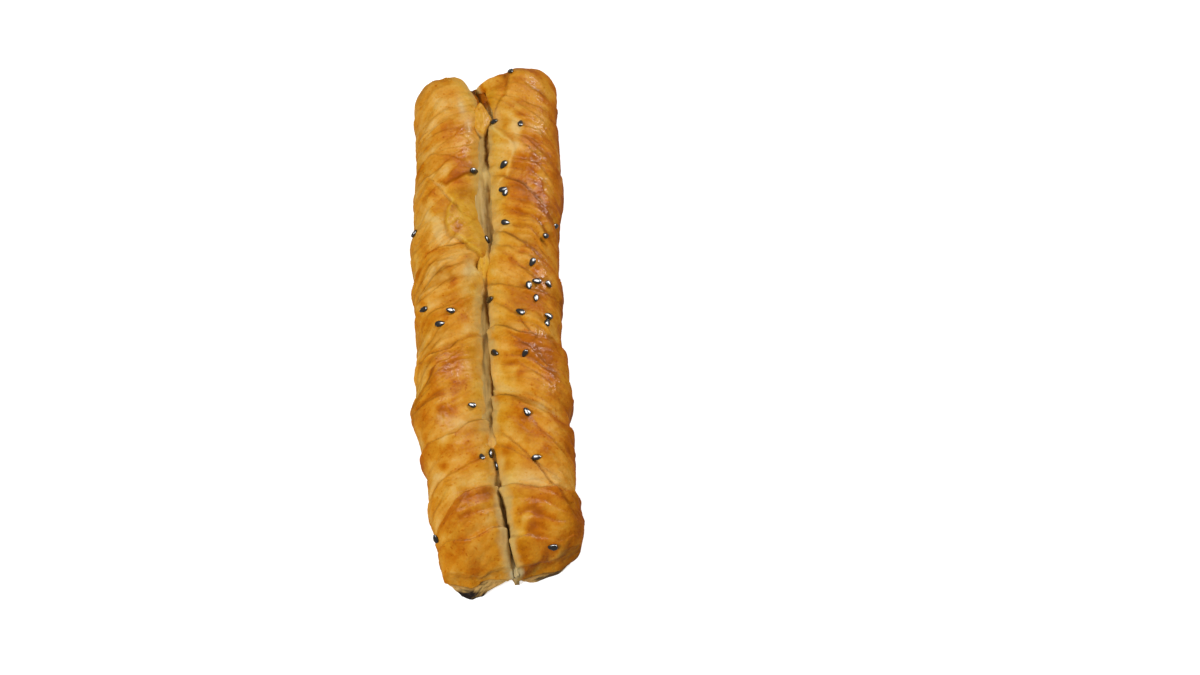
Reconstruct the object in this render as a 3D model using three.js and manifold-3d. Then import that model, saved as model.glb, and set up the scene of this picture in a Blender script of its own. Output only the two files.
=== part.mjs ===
import * as THREE from 'three';
import { mergeVertices } from 'three/addons/utils/BufferGeometryUtils.js';
import Module from 'manifold-3d';

// A cheese borek baked as two thin-dough rolls side by side, joined along a seam and sprinkled with
// black seeds. Millimetres and degrees. +Y runs from the near end to the far end, +Z is up.
// Round a roll, angle 0 is its outer side, 90 its crown, 180 the seam and 270 its underside.
const crownHeight = 24.5;
const sagFlat = 1.3; // depth of the round underside that has sagged flat on the tray
const nearRound = 7; // radius that turns a roll's side into its near end
const farRound = 9; // the same at its far end
const footRound = 0.3; // share of those radii left at the foot, where the dough sat on the tray
const seamRound = { near: 0.1, far: 0.12 }; // share left beside the seam, where the rolls stay joined
const seamReach = 0.9; // share of the way from crown to seam where that is reached
const leanRun = 45; // length over which the lean of an end builds up
const cutRun = 16; // length over which the cut of an end's corner builds up
const droopRun = 26; // length over which a near end sinks towards the tray
const droopShare = 0.3; // how much of its height it loses

// Powers of the four quarters of a roll's section: 2 is an ellipse, more is squarer. Each roll has a
// power of its own above the seam.
const shoulderPower = 2.2;
const footPower = { outer: 2.8, inner: 6 };

// Slow unevenness of the hand-rolled dough, with whole turns round the roll.
const lumps = [
  { height: 0.4, length: 46, turns: 1 },
  { height: 0.25, length: 21, turns: 3 },
];

// The step of a fold, and the edge of the skin that is tucked in at an end.
const foldHalf = 0.6; // half the length of the step
const foldTail = 12; // length over which the upper layer sinks back
const foldDip = 4; // length of the dip just beyond the step
const dipShare = 0.35; // depth of that dip as a share of the rise
const foldFade = 18; // angle over which a fold dies out
const wrapStart = -60; // angle under the outer side where fold lines end
const wrapReach = 0.6; // how far a fold line runs on past the outer side
const tuckDepth = 0.7; // how far the layers under that edge lie back
const tuckStep = 2; // height over which they do so
const tuckFrom = 0.35; // share of the quarter-round of an end where the edge begins
const tuckTo = 0.85; // and where it is complete
const tipNarrow = 0.6; // at the near end the layers draw together towards a tip
const tipRun = 8; // over this height below the edge
const tipOut = 1; // and stick out there
const tipWidth = 5;

// The seam: its line, its usual overlap, and the stretches where it gapes or dough bridges it.
const seamLine = [
  [-97, 3.2], [-80, 0.6], [-64, -0.6], [-46, -3], [5, -3.1],
  [24, -0.6], [38, -1.8], [57, -1.1], [74, -0.6], [82, -1.6], [90, -4.4], [101, -7],
];
const seamLap = -1.2;
const seamChanges = [
  { at: 86, run: 12, lap: 1.4 },
  { at: 40, run: 13, lap: -2.2 },
  { at: 20, run: 5, lap: 3.6 },
  { at: -52, run: 7, lap: 3 },
  { at: -84, run: 14, lap: 0.5 },
];

// The dough that joins the rolls: its height along the seam, with a leaf of dough near the far end.
const webHalfWidth = 4;
const webTop = [
  [-90, 8], [-86, 11], [-74, 14.5], [-64, 18.5], [-56, 20], [8, 19.4], [16, 21], [32, 19.4],
  [54, 19.4], [66, 20], [75, 22.5], [82, 19.6], [88, 17],
];

// `edge` is a roll's outer side. A fold crosses the crown at `at`; `inner` and `outer` say how far its
// line shifts along the roll between crown and seam, and between outer side and crown. It shows from
// one angle to another. A lean moves an end along by so much for each millimetre outward and up. A cut
// takes a corner back by its slope from so far across: the outer corner at the near end, the seam's at
// the far end. `square` keeps the near end's outer corner from being rounded, `tuck` is the height of
// the tucked edge, and `tip` says where across the near end's layers stick out most. A swelling rises,
// or a hollow sinks, round a place along and round the roll.
const leftRoll = {
  side: -1,
  brow: 3,
  near: -94,
  far: 95,
  nearLean: { across: -0.15, up: 0.25 },
  farLean: { across: 0.12, up: 0 },
  nearCut: { from: 3, slope: 0.5 },
  farCut: { from: -2, slope: 0.26 },
  square: 0.7,
  tuck: { outer: 5.5, inner: 8 },
  tip: -14.7,
  swellings: [{ at: 30, angle: 122, run: 10, turn: 24, rise: 1.2 }],
  edge: [
    [-97, -21.4], [-82, -22], [-67, -25.2], [-59, -25.1], [-46, -28.2], [-36, -29.6], [-27, -28.2],
    [12, -28], [22, -28.7], [46, -27.8], [70, -25.3], [86, -26.8], [98, -25],
  ],
  folds: [
    { at: 79, inner: 2, outer: 5, rise: 0.4, from: -60, to: 130 },
    { at: 62, inner: 3, outer: 5, rise: 0.4, from: -60, to: 120 },
    { at: 44, inner: -16, outer: -16, rise: 0.6, from: 58, to: 102 },
    { at: 25, inner: -4, outer: 9, rise: 0.8, from: -60, to: 128 },
    { at: 16, inner: 3, outer: 14, rise: 0.6, from: -60, to: 104 },
    { at: -5, inner: 12, outer: 12, rise: 0.5, from: 20, to: 74 },
    { at: -15.5, inner: 7, outer: 4, rise: 0.7, from: -60, to: 150 },
    { at: -18, inner: 17, outer: 17, rise: 0.5, from: 15, to: 62 },
    { at: -32, inner: 6, outer: 6, rise: 0.3, from: -60, to: 70 },
    { at: -47.3, inner: 8, outer: 4, rise: 1, from: -60, to: 165 },
    { at: -60.3, inner: 7.4, outer: 7.4, rise: 0.7, from: -60, to: 120 },
    { at: -69, inner: 4, outer: 11, rise: 1.2, from: -60, to: 150 },
    { at: -84, inner: 6, outer: 1.5, rise: 0.8, from: -60, to: 140 },
  ],
};
const rightRoll = {
  side: 1,
  brow: 4.2,
  near: -90,
  far: 98.5,
  nearLean: { across: 0.24, up: 0.1 },
  farLean: { across: 0.12, up: -0.05 },
  nearCut: { from: 3.5, slope: 0.5 },
  farCut: { from: 0.5, slope: 0.54 },
  square: 0.9,
  tuck: { outer: 1.5, inner: 4 },
  tip: 11,
  swellings: [{ at: 91, angle: 138, run: 11, turn: 26, rise: -2.6 }],
  edge: [
    [-95, 24.5], [-85, 26], [-78, 26.2], [-56, 24.8], [-41, 22.8], [-33, 24.7],
    [-2, 22], [9, 23.4], [22, 22.3], [42, 25], [86, 25.6], [101, 25],
  ],
  folds: [
    { at: 82, inner: 4, outer: 8, rise: 0.4, from: -60, to: 110 },
    { at: 66, inner: 6, outer: 12, rise: 0.4, from: -60, to: 100 },
    { at: 45.6, inner: 9, outer: 15, rise: 0.9, from: -60, to: 125 },
    { at: 23, inner: 9, outer: 11, rise: 0.7, from: -60, to: 140 },
    { at: 19.2, inner: 6.7, outer: 6.7, rise: 0.4, from: 78, to: 125 },
    { at: 5.7, inner: 4.2, outer: 4.2, rise: 0.6, from: -60, to: 145 },
    { at: -9.2, inner: 17, outer: 17, rise: 0.4, from: 84, to: 123 },
    { at: -12, inner: 5.6, outer: 2.4, rise: 0.8, from: -60, to: 160 },
    { at: -16.8, inner: 13, outer: 13, rise: 0.4, from: 66, to: 102 },
    { at: -40.5, inner: 13, outer: 6, rise: 1, from: -60, to: 155 },
    { at: -44, inner: 18, outer: 18, rise: 0.4, from: 40, to: 92 },
    { at: -57.5, inner: 20, outer: 24, rise: 0.6, from: 40, to: 125 },
    { at: -69.3, inner: 5, outer: 1.5, rise: 1.2, from: -60, to: 150 },
    { at: -86, inner: 5.5, outer: 3, rise: 0.7, from: 50, to: 145 },
  ],
};

// Seeds lie in sprinkles: a middle, how far the seeds stray along and round, and the draw's start.
const seedSize = { length: 3.1, width: 1.9, thickness: 1.3 };
const seedSunk = 0.35; // share of the thickness pressed into the dough
const seedSpread = 0.1; // seeds are up to this share larger or smaller
const drawFactor = 16807; // the two numbers of a plain repeatable draw
const drawRange = 2147483647;
const sprinkles = [
  { roll: rightRoll, at: 95, angle: 93, run: 1, turn: 3, count: 1, start: 59993 },
  { roll: rightRoll, at: 73, angle: 113, run: 2.5, turn: 20, count: 2, start: 17478 },
  { roll: rightRoll, at: 43.5, angle: 118, run: 12, turn: 5, count: 4, start: 1464 },
  { roll: rightRoll, at: 29.5, angle: 45, run: 3.5, turn: 12, count: 2, start: 9381 },
  { roll: rightRoll, at: 10.5, angle: 66, run: 5.5, turn: 18, count: 4, start: 15303 },
  { roll: rightRoll, at: -3.5, angle: 73, run: 5, turn: 24, count: 4, start: 14172 },
  { roll: rightRoll, at: -9, angle: 118, run: 12.5, turn: 25, count: 3, start: 9526 },
  { roll: rightRoll, at: -51, angle: 118, run: 10, turn: 31, count: 3, start: 21758 },
  { roll: rightRoll, at: -86.5, angle: 84, run: 1, turn: 4, count: 1, start: 59979 },
  { roll: leftRoll, at: 40, angle: 136, run: 13.5, turn: 12, count: 2, start: 4257 },
  { roll: leftRoll, at: 32, angle: 33, run: 1, turn: 4, count: 1, start: 51145 },
  { roll: leftRoll, at: -3.5, angle: 72, run: 4, turn: 21, count: 3, start: 14852 },
  { roll: leftRoll, at: -47, angle: 129, run: 10.5, turn: 10, count: 3, start: 18419 },
  { roll: leftRoll, at: -82, angle: 18, run: 1, turn: 4, count: 1, start: 59979 },
];

// How finely the surfaces are divided.
const stepsRound = 32;
const stepAlong = 6;
const webStep = 7;
const wideFold = 100; // a fold that goes this far round sets rows of points of its own
const rimTurns = [25, 45, 70];
const faceShares = [0.98, 0.7, 0.45, 0.22];
const normalStep = 0.6;

const halfHeight = (crownHeight + sagFlat) / 2;
const centreHeight = halfHeight - sagFlat;
const { clamp, degToRad, euclideanModulo, lerp, smoothstep } = THREE.MathUtils;

// Smooth curve through points given as [along, value].
function along(points, y) {
  const last = points.length - 1;
  let i = 0;
  while (i < last - 1 && y > points[i + 1][0]) {
    i += 1;
  }
  const slope = (k) => {
    const before = points[Math.max(k - 1, 0)];
    const after = points[Math.min(k + 1, last)];
    return (after[1] - before[1]) / (after[0] - before[0]);
  };
  const [y0, v0] = points[i];
  const [y1, v1] = points[i + 1];
  const span = y1 - y0;
  const t = clamp((y - y0) / span, 0, 1);
  const ease = t * t * (3 - 2 * t);
  const enter = t * (1 - t) * (1 - t) * span * slope(i);
  const leave = t * t * (1 - t) * span * slope(i + 1);
  return v0 + (v1 - v0) * ease + enter - leave;
}

function seamOverlap(y) {
  let lap = seamLap;
  for (const change of seamChanges) {
    lap += change.lap * Math.exp(-(((y - change.at) / change.run) ** 2));
  }
  return lap;
}

function section(roll, y) {
  const edge = along(roll.edge, y);
  const width = roll.side * (edge - along(seamLine, y)) + seamOverlap(y) / 2;
  return { halfWidth: width / 2, centre: edge - (roll.side * width) / 2 };
}

// Distance from a section's centre to its skin.
function skinRadius(roll, halfWidth, angle) {
  const across = Math.cos(degToRad(angle));
  const up = Math.sin(degToRad(angle));
  const powers = up >= 0 ? { outer: shoulderPower, inner: roll.brow } : footPower;
  const power = across >= 0 ? powers.outer : powers.inner;
  return (Math.abs(across / halfWidth) ** power + Math.abs(up / halfHeight) ** power) ** (-1 / power);
}

// An angle brought into the one turn that starts under the outer side.
function turned(angle) {
  return euclideanModulo(angle - wrapStart, 360) + wrapStart;
}

// Where a fold line lies along the roll. Its place round is -1 at the outer side, 0 at the crown and 1
// at the seam; under the roll the line goes back to where it began.
function lineAt(line, angle) {
  const round = turned(angle);
  let place = -Math.cos(degToRad(round));
  if (round < 0) {
    place = -1 - (wrapReach * round) / wrapStart;
  }
  if (round > 180) {
    place = 1 - ((2 + wrapReach) * (round - 180)) / (180 + wrapStart);
  }
  return line.at + (place > 0 ? line.inner : line.outer) * place;
}

// The nearer layer lies on top at a fold and sinks back slowly, with a dip just beyond the step.
function foldRelief(roll, y, angle) {
  const round = turned(angle);
  let height = 0;
  for (const fold of roll.folds) {
    const gap = y - lineAt(fold, round);
    const begun = smoothstep(round, fold.from - foldFade, fold.from);
    const ended = smoothstep(round, fold.to, fold.to + foldFade);
    const beyond = smoothstep(gap, -foldHalf, foldHalf);
    const upper = Math.exp(Math.min(gap, 0) / foldTail);
    const dip = -dipShare * Math.exp(-Math.max(gap, 0) / foldDip);
    height += fold.rise * begun * (1 - ended) * (upper * (1 - beyond) + dip * beyond);
  }
  return height;
}

function lumpRelief(roll, y, angle) {
  let height = 0;
  for (const lump of lumps) {
    const phase = (2 * Math.PI * y) / lump.length + lump.turns * degToRad(angle) + roll.side;
    height += lump.height * Math.sin(phase);
  }
  return height;
}

function swellingRelief(roll, y, angle) {
  let height = 0;
  for (const { at, angle: middle, run, turn, rise } of roll.swellings) {
    height += rise * Math.exp(-(((y - at) / run) ** 2) - ((turned(angle) - middle) / turn) ** 2);
  }
  return height;
}

// How far into the quarter-round of an end a place along the roll lies, from 0 to 1.
function intoEnd(roll, y) {
  const near = (roll.near + nearRound - y) / nearRound;
  const far = (y - roll.far + farRound) / farRound;
  return clamp(Math.max(near, far), 0, 1);
}

// The skin draws in round an end, less at the foot, beside the seam and at a square corner.
function endShrink(roll, y, angle) {
  const round = (y < 0 ? nearRound : farRound) / halfHeight;
  const across = Math.cos(degToRad(angle));
  const down = Math.max(-Math.sin(degToRad(angle)), 0);
  const inward = smoothstep(-across, 0, seamReach) * (1 - (y < 0 ? seamRound.near : seamRound.far));
  const outward = y < 0 ? Math.max(across, 0) * roll.square : 0;
  const kept = (1 - (1 - footRound) * down) * (1 - inward) * (1 - outward);
  const turn = Math.asin(intoEnd(roll, y));
  return 1 - round * kept * (1 - Math.cos(turn));
}

function leaned(roll, point, centre) {
  const across = roll.side * (point.x - centre);
  const up = point.z - centreHeight;
  const near = 1 - smoothstep(point.y, roll.near, roll.near + leanRun);
  const far = smoothstep(point.y, roll.far - leanRun, roll.far);
  const nearCorner = 1 - smoothstep(point.y, roll.near, roll.near + cutRun);
  const farCorner = smoothstep(point.y, roll.far - cutRun, roll.far);
  point.y += near * (roll.nearLean.across * across + roll.nearLean.up * up);
  point.y += far * (roll.farLean.across * across + roll.farLean.up * up);
  point.y += nearCorner * roll.nearCut.slope * Math.max(across - roll.nearCut.from, 0);
  point.y -= farCorner * roll.farCut.slope * Math.max(roll.farCut.from - across, 0);
  return point;
}

// What is left of the height where a near end sinks.
function droop(roll, y) {
  const into = clamp((roll.near + droopRun - y) / droopRun, 0, 1);
  return 1 - droopShare * into * into;
}

// The layers that show under the tucked edge of an end.
function tucked(roll, point, angle) {
  const outward = point.y < 0 ? -1 : 1;
  const atEnd = smoothstep(intoEnd(roll, point.y), tuckFrom, tuckTo);
  const edge = lerp(roll.tuck.outer, roll.tuck.inner, 0.5 - 0.5 * Math.cos(degToRad(angle)));
  const under = atEnd * (1 - smoothstep(point.z, edge - tuckStep, edge));
  const low = outward < 0 ? atEnd * smoothstep(edge - point.z, 0, tipRun) : 0;
  point.x += tipNarrow * low * (roll.tip - point.x);
  const out = tipOut * low * Math.exp(-(((point.x - roll.tip) / tipWidth) ** 2));
  point.y += outward * (out - tuckDepth * under);
  return point;
}

// A point of the skin, or nearer the centre by `share`.
function skinPoint(roll, y, angle, share = 1) {
  const { halfWidth, centre } = section(roll, y);
  const relief = foldRelief(roll, y, angle) + lumpRelief(roll, y, angle) + swellingRelief(roll, y, angle);
  const flat = Math.sqrt(1 - intoEnd(roll, y) ** 2);
  const radius = (skinRadius(roll, halfWidth, angle) + relief * flat) * endShrink(roll, y, angle) * share;
  const x = centre + roll.side * radius * Math.cos(degToRad(angle));
  const z = Math.max(centreHeight + radius * Math.sin(degToRad(angle)), 0) * droop(roll, y);
  return leaned(roll, tucked(roll, new THREE.Vector3(x, y, z), angle), centre);
}

// Two rows of points for each wide fold, one each side of its step, and even rows in between.
function bodyRows(roll) {
  const first = { at: roll.near + nearRound, inner: 0, outer: 0 };
  const last = { at: roll.far - farRound, inner: 0, outer: 0 };
  const steps = roll.folds
    .filter((fold) => fold.to - fold.from >= wideFold)
    .flatMap((fold) => [-foldHalf, foldHalf].map((offset) => ({ ...fold, at: fold.at + offset })))
    .sort((a, b) => a.at - b.at);
  const stops = [first, ...steps, last];
  const rows = [first];
  for (let i = 1; i < stops.length; i += 1) {
    const count = Math.ceil((stops[i].at - stops[i - 1].at) / stepAlong);
    for (let k = 1; k <= count; k += 1) {
      const mixed = {};
      for (const key of ['at', 'inner', 'outer']) {
        mixed[key] = lerp(stops[i - 1][key], stops[i][key], k / count);
      }
      rows.push(mixed);
    }
  }
  return rows.map((row) => (angle) => skinPoint(roll, lineAt(row, angle), angle));
}

// A quarter-round rim, then a face.
function endRows(roll, outward) {
  const tip = outward < 0 ? roll.near : roll.far;
  const round = outward < 0 ? nearRound : farRound;
  const rim = rimTurns.map((turn) => {
    const y = tip - outward * round * (1 - Math.sin(degToRad(turn)));
    return (angle) => skinPoint(roll, y, angle);
  });
  const face = faceShares.map((share) => (angle) => skinPoint(roll, tip, angle, share));
  return [...rim, ...face];
}

// A closed skin from rows of points, with a middle point at each end.
function closedSkin(rows, firstPoint, lastPoint, flip) {
  const count = rows[0].length;
  const points = [firstPoint, ...rows.flat(), lastPoint];
  const index = [];
  const face = (a, b, c) => index.push(...(flip ? [a, c, b] : [a, b, c]));
  for (let i = 0; i < count; i += 1) {
    const next = (i + 1) % count;
    face(0, 1 + next, 1 + i);
    for (let row = 1; row < rows.length; row += 1) {
      const low = 1 + (row - 1) * count;
      const high = low + count;
      face(low + i, low + next, high + i);
      face(low + next, high + next, high + i);
    }
    const top = 1 + (rows.length - 1) * count;
    face(points.length - 1, top + i, top + next);
  }
  const geometry = new THREE.BufferGeometry().setFromPoints(points);
  geometry.setIndex(index);
  return geometry;
}

function rollGeometry(roll) {
  const angles = Array.from({ length: stepsRound }, (_, i) => (360 * i) / stepsRound);
  const rows = [...endRows(roll, -1).reverse(), ...bodyRows(roll), ...endRows(roll, 1)];
  const grid = rows.map((point) => angles.map((angle) => point(angle)));
  const middle = (y) => skinPoint(roll, y, 0, 0);
  return closedSkin(grid, middle(roll.near), middle(roll.far), roll.side > 0);
}

function webGeometry() {
  const start = webTop[0][0];
  const end = webTop[webTop.length - 1][0];
  const count = Math.round((end - start) / webStep);
  const rows = [];
  for (let i = 0; i <= count; i += 1) {
    const y = lerp(start, end, i / count);
    const seam = along(seamLine, y);
    const top = along(webTop, y);
    const corner = (side, z) => new THREE.Vector3(seam + side * webHalfWidth, y, z);
    rows.push([corner(1, 0), corner(1, top), corner(-1, top), corner(-1, 0)]);
  }
  const middle = (row) => row[0].clone().lerp(row[2], 0.5);
  return closedSkin(rows, middle(rows[0]), middle(rows[count]), true);
}

// A flat seed lying on the skin, turned to its heading.
function seedGeometry(roll, y, angle, heading, scale) {
  const place = skinPoint(roll, y, angle);
  const turn = THREE.MathUtils.radToDeg(normalStep / halfHeight);
  const ahead = skinPoint(roll, y + normalStep, angle).sub(skinPoint(roll, y - normalStep, angle));
  const round = skinPoint(roll, y, angle + turn).sub(skinPoint(roll, y, angle - turn));
  ahead.normalize();
  const up = ahead.clone().cross(round).multiplyScalar(roll.side).normalize();
  const right = ahead.clone().cross(up);
  const geometry = new THREE.OctahedronGeometry(0.5, 1);
  geometry.scale(seedSize.width * scale, seedSize.length * scale, seedSize.thickness * scale);
  geometry.rotateZ(degToRad(heading));
  geometry.applyMatrix4(new THREE.Matrix4().makeBasis(right, ahead, up));
  place.addScaledVector(up, seedSize.thickness * scale * (0.5 - seedSunk));
  return geometry.translate(place.x, place.y, place.z);
}

function drawFrom(start) {
  let state = start;
  return () => {
    state = (state * drawFactor) % drawRange;
    return state / drawRange;
  };
}

function seedGeometries() {
  const seeds = [];
  for (const { roll, at, angle, run, turn, count, start } of sprinkles) {
    const draw = drawFrom(start);
    const stray = (most) => most * (2 * draw() - 1);
    for (let i = 0; i < count; i += 1) {
      const y = at + stray(run);
      const round = angle + stray(turn);
      const heading = stray(180);
      seeds.push(seedGeometry(roll, y, round, heading, 1 + stray(seedSpread)));
    }
  }
  return seeds;
}

const wasm = await Module();
wasm.setup();

function solidOf(geometry) {
  const bare = geometry.clone();
  bare.deleteAttribute('normal');
  bare.deleteAttribute('uv');
  const merged = mergeVertices(bare);
  const vertProperties = merged.attributes.position.array;
  const triVerts = new Uint32Array(merged.index.array);
  return new wasm.Manifold(new wasm.Mesh({ numProp: 3, vertProperties, triVerts }));
}

function pastryMesh() {
  const pieces = [rollGeometry(leftRoll), rollGeometry(rightRoll), webGeometry(), ...seedGeometries()];
  const fused = pieces.map(solidOf).reduce((whole, piece) => whole.add(piece)).getMesh();
  const geometry = new THREE.BufferGeometry();
  geometry.setAttribute('position', new THREE.BufferAttribute(fused.vertProperties, 3));
  geometry.setIndex(new THREE.BufferAttribute(fused.triVerts, 1));
  geometry.computeVertexNormals();
  const crust = new THREE.MeshStandardMaterial({ color: 0xc48531, roughness: 0.4, metalness: 0 });
  const mesh = new THREE.Mesh(geometry, crust);
  mesh.name = 'pastry';
  return mesh;
}

const pastry = pastryMesh();
const middle = new THREE.Box3().setFromObject(pastry).getCenter(new THREE.Vector3());
pastry.position.set(-middle.x, -middle.y, 0);

const borek = new THREE.Group();
borek.add(pastry);

export default borek;
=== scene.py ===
import math

import bpy
import numpy as np
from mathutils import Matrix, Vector


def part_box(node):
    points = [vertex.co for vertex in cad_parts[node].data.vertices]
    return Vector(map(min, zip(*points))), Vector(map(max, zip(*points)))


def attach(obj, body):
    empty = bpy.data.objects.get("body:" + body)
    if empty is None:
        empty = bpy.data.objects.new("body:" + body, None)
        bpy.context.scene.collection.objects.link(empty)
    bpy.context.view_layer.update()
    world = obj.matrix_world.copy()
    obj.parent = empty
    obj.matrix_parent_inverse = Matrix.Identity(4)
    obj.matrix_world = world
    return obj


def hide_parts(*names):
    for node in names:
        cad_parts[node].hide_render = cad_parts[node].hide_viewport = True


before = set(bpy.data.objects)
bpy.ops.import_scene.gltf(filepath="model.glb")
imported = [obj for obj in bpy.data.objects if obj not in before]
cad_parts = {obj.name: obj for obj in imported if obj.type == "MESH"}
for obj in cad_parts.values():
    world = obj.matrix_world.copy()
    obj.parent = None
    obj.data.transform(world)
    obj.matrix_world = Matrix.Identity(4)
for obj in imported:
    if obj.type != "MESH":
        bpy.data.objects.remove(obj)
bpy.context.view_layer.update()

millimetre = 0.001  # the frame is in metres, the sizes below are in millimetres and degrees


# Small helpers

def smooth(low, high, value):
    # eases from 0 to 1 between two values
    t = np.clip((value - low) / (high - low), 0, 1)
    return t * t * (3 - 2 * t)


def bell(value, width):
    # 1 at zero, dying away on both sides
    return np.exp(-(value / width) ** 2)


def ramp(form, value):
    # rises to an amount: (amount, from, to)
    amount, low, high = form
    return amount * smooth(low, high, value)


def decay(gap, run):
    # 1 below zero, dying away above it
    return np.exp(-np.maximum(gap, 0) / run)


def along(points, y):
    # smooth curve through (along, value) points
    ys, values = np.array(points, float).T
    last = len(ys) - 1
    order = np.arange(last + 1)
    before, after = np.maximum(order - 1, 0), np.minimum(order + 1, last)
    slopes = (values[after] - values[before]) / (ys[after] - ys[before])
    i = np.clip(np.searchsorted(ys, y) - 1, 0, last - 1)
    span = ys[i + 1] - ys[i]
    t = np.clip((y - ys[i]) / span, 0, 1)
    ease = smooth(0, 1, t)
    enter = t * (1 - t) ** 2 * span * slopes[i]
    leave = t * t * (1 - t) * span * slopes[i + 1]
    return values[i] + (values[i + 1] - values[i]) * ease + enter - leave


def cornerHash(corner, start):
    # a repeatable random whole number for each corner of a lattice
    x, y, z = np.moveaxis(corner.astype(np.uint64), -1, 0)
    mixed = x * np.uint64(374761393) + y * np.uint64(668265263) + z * np.uint64(2147483659)
    mixed = mixed + np.uint64(start) * np.uint64(3266489917)
    mixed = (mixed ^ (mixed >> np.uint64(15))) * np.uint64(2246822519)
    return (mixed ^ (mixed >> np.uint64(13))) & np.uint64(0xFFFFFF)


def noise(points, size, start):
    # gradient noise, about -1 to 1, with lumps of the given size
    place = points / size
    base = np.floor(place).astype(np.int64)
    inside = place - base
    ease = inside ** 3 * (inside * (inside * 6 - 15) + 10)
    total = 0
    for step in np.ndindex(2, 2, 2):
        picked = cornerHash(base + np.array(step), start)
        turn = (picked & np.uint64(0xFFF)).astype(float) * (2 * math.pi / 0x1000)
        rise = (picked >> np.uint64(12)).astype(float) / 0x800 - 1
        flat = np.sqrt(1 - rise ** 2)
        slope = np.stack([flat * np.cos(turn), flat * np.sin(turn), rise], -1)
        weight = np.prod(np.where(step, ease, 1 - ease), -1)
        total = total + weight * np.sum(slope * (inside - np.array(step)), -1)
    return 1.6 * total


def swing(points, form, start):
    # noise of one (height, size)
    height, size = form
    return height * noise(points, size, start)


def layeredNoise(points, layers, start, step=1):
    # noise of several of them, each with a start of its own unless step is 0
    return sum(swing(points, layer, start + step * i) for i, layer in enumerate(layers))


def valleys(wave):
    # sharp valleys between round swellings, about level on average
    return 2 * abs(wave) - 0.5


# Form of the two rolls. Round a roll, angle 0 is its outer side, 90 its crown, 180 the seam
# and 270 its underside.
rollForm = {
    "middle": (-1.515, 1.303, 0),  # of the box round the part, which lies at the middle of its frame
    "crownHeight": 24.5,
    "sagFlat": 1.3,  # depth of the round underside that sagged flat on the tray
    "nearRound": 7.0,  # radius that turns the side into the near end
    "farRound": 9.0,
    "footRound": 0.3,  # share of those radii left at the foot
    "seamRound": (0.1, 0.12),  # share left beside the seam, at the near end and the far end
    "leanRun": 45.0,
    "droop": (26.0, 0.3),  # over this run, the near end sinks by this share of its height
    "cutRun": 16.0,
    "shoulder": 2.2,  # powers of the section's quarters
    "foot": (2.8, 6.0),  # outer, inner
    "lumps": [(0.4, 46.0, 1), (0.25, 21.0, 3)],  # height, length, whole turns
    "trim": -0.5,  # brings the swollen skin back to the measured outline
    "swells": [(0.55, 15.0), (0.3, 7.5)],  # height and size of the soft swellings of the dough
    "wrinkles": [(0.7, 4.8, 2.0), (0.3, 2.4, 2.5)],  # height, size, how often they break off round the roll
    "streaks": [(0.07, 5.0, 2.2), (0.06, 2.4, 2.4), (0.04, 1.2, 2.4)],  # how much browner, size, breaks
    # how far wrinkles shift along the roll towards the seam and the outer side, and how they bend
    "flow": (5, 12, 1.6),
    "flowStray": (1.6, 11.0),  # how far they wander off that, and how often
    "streakStray": (1.2, 5.0),
    "gather": (0.2, 0.45, 22.0),  # least wrinkled, how much more in places, size of such places
    "crumple": (0.1, 6.0),
    "grain": (0.05, 1.5),
    "blister": (0.14, 3.2),
    "crinkle": (0.4, 1.7, 9.0),  # height, size, size of the crinkled places
    "pitDepth": 1.5,
    "seamCalm": (0.75, 125, 160),  # how much calmer the wrinkles are towards the seam, from, to
    "creaseWidth": (0.11, 0.08),  # share of a wrinkle and of a crinkle darkened with painted shade in its valley
    "creaseShading": 0.2,  # how dark the painted shade in the creases is
    "swellTint": 0.16,  # how much browner a millimetre of height is
    "fineTint": 0.25,
    # painted light on the ripples' ridges and painted shade in their valleys
    "rippleShading": -0.2,
    "columns": (136, 18),  # points round the part that shows, and under it
    "visibleTurn": (-35, 205),
    "stepAlong": 0.46,
    "rimSteps": 20,
    "faceShares": np.linspace(0.97, 0.06, 14),
}

# A fold: where it crosses the crown, its shift towards the seam and the outer side, its rise, the
# angles that it shows between, how dark its line of painted shade is, and how much it bends at the outer side.
# A flap: its edge as (along, angle), its rise along it, how much browner and yellower it is; it lies on
# the seam's side of that edge.
# Toast, crinkled, rippled, pits and flour are spots: along, angle, run, turn, and how much browner and so on.
foldForm = {
    "half": 0.3,  # half width of the step at its edge
    "tail": 12.0,  # length over which the upper layer sinks back
    "dip": (0.35, 4.0),  # share of the rise that the lower layer is pressed in, and over which run
    "lip": (0.22, 1.6),  # share that stands up along the very edge, and over which run
    "fade": 18.0,
    "wrapStart": -60.0,
    "wrapReach": 0.6,
    "strays": [(0.9, 9.0), (0.4, 3.0)],  # how far a fold line wanders off its curve, and how often
    "soften": (0.7, 16.0),  # how much wider the step gets where a fold is soft, size of such places
    "breakSize": 8.0,  # how often its line breaks off
    "line": (0.7, 0.4),  # painted shade in a line below the edge: how dark, how wide
    "browner": (0.16, 7.0),  # above its edge, over which run
    "paler": (0.3, 5.0),  # below it
    "rim": (0.25, 0.45),  # painted highlight along its edge: how much paler, how wide
    "valleyBrownAndShade": (0.35, 1.1),  # how much browner its foot is, from baking and painted shade, how wide
    # fine creases: how many, how far from the ends, and the ranges that their middle, half turn, shift,
    # rise, mark and stray are drawn from
    "minorCount": 38,
    "minorInset": 8,
    "minorRanges": [(0, 130), (12, 42), (1, 17), (0.15, 0.42), (0.05, 0.5), (-3, 3)],
}

flapForm = {
    "stray": (1.2, 5.0),  # how far an edge wanders, and how often
    "blur": (0.6, 1.5),  # half width of the step at a raised edge and at a sunken one
    "line": (0.6, 0.5, 6.0),  # painted shadow at the foot of a raised edge: how dark at most, how wide, how often it breaks off
    "rim": (0.3, 0.5),  # painted highlight along a raised edge: how much paler, how wide
    "sunken": (0.1, 2.5),  # painted shade beyond a sunken edge: how much browner, over which run
    "lastTurn": 230,
}

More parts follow.
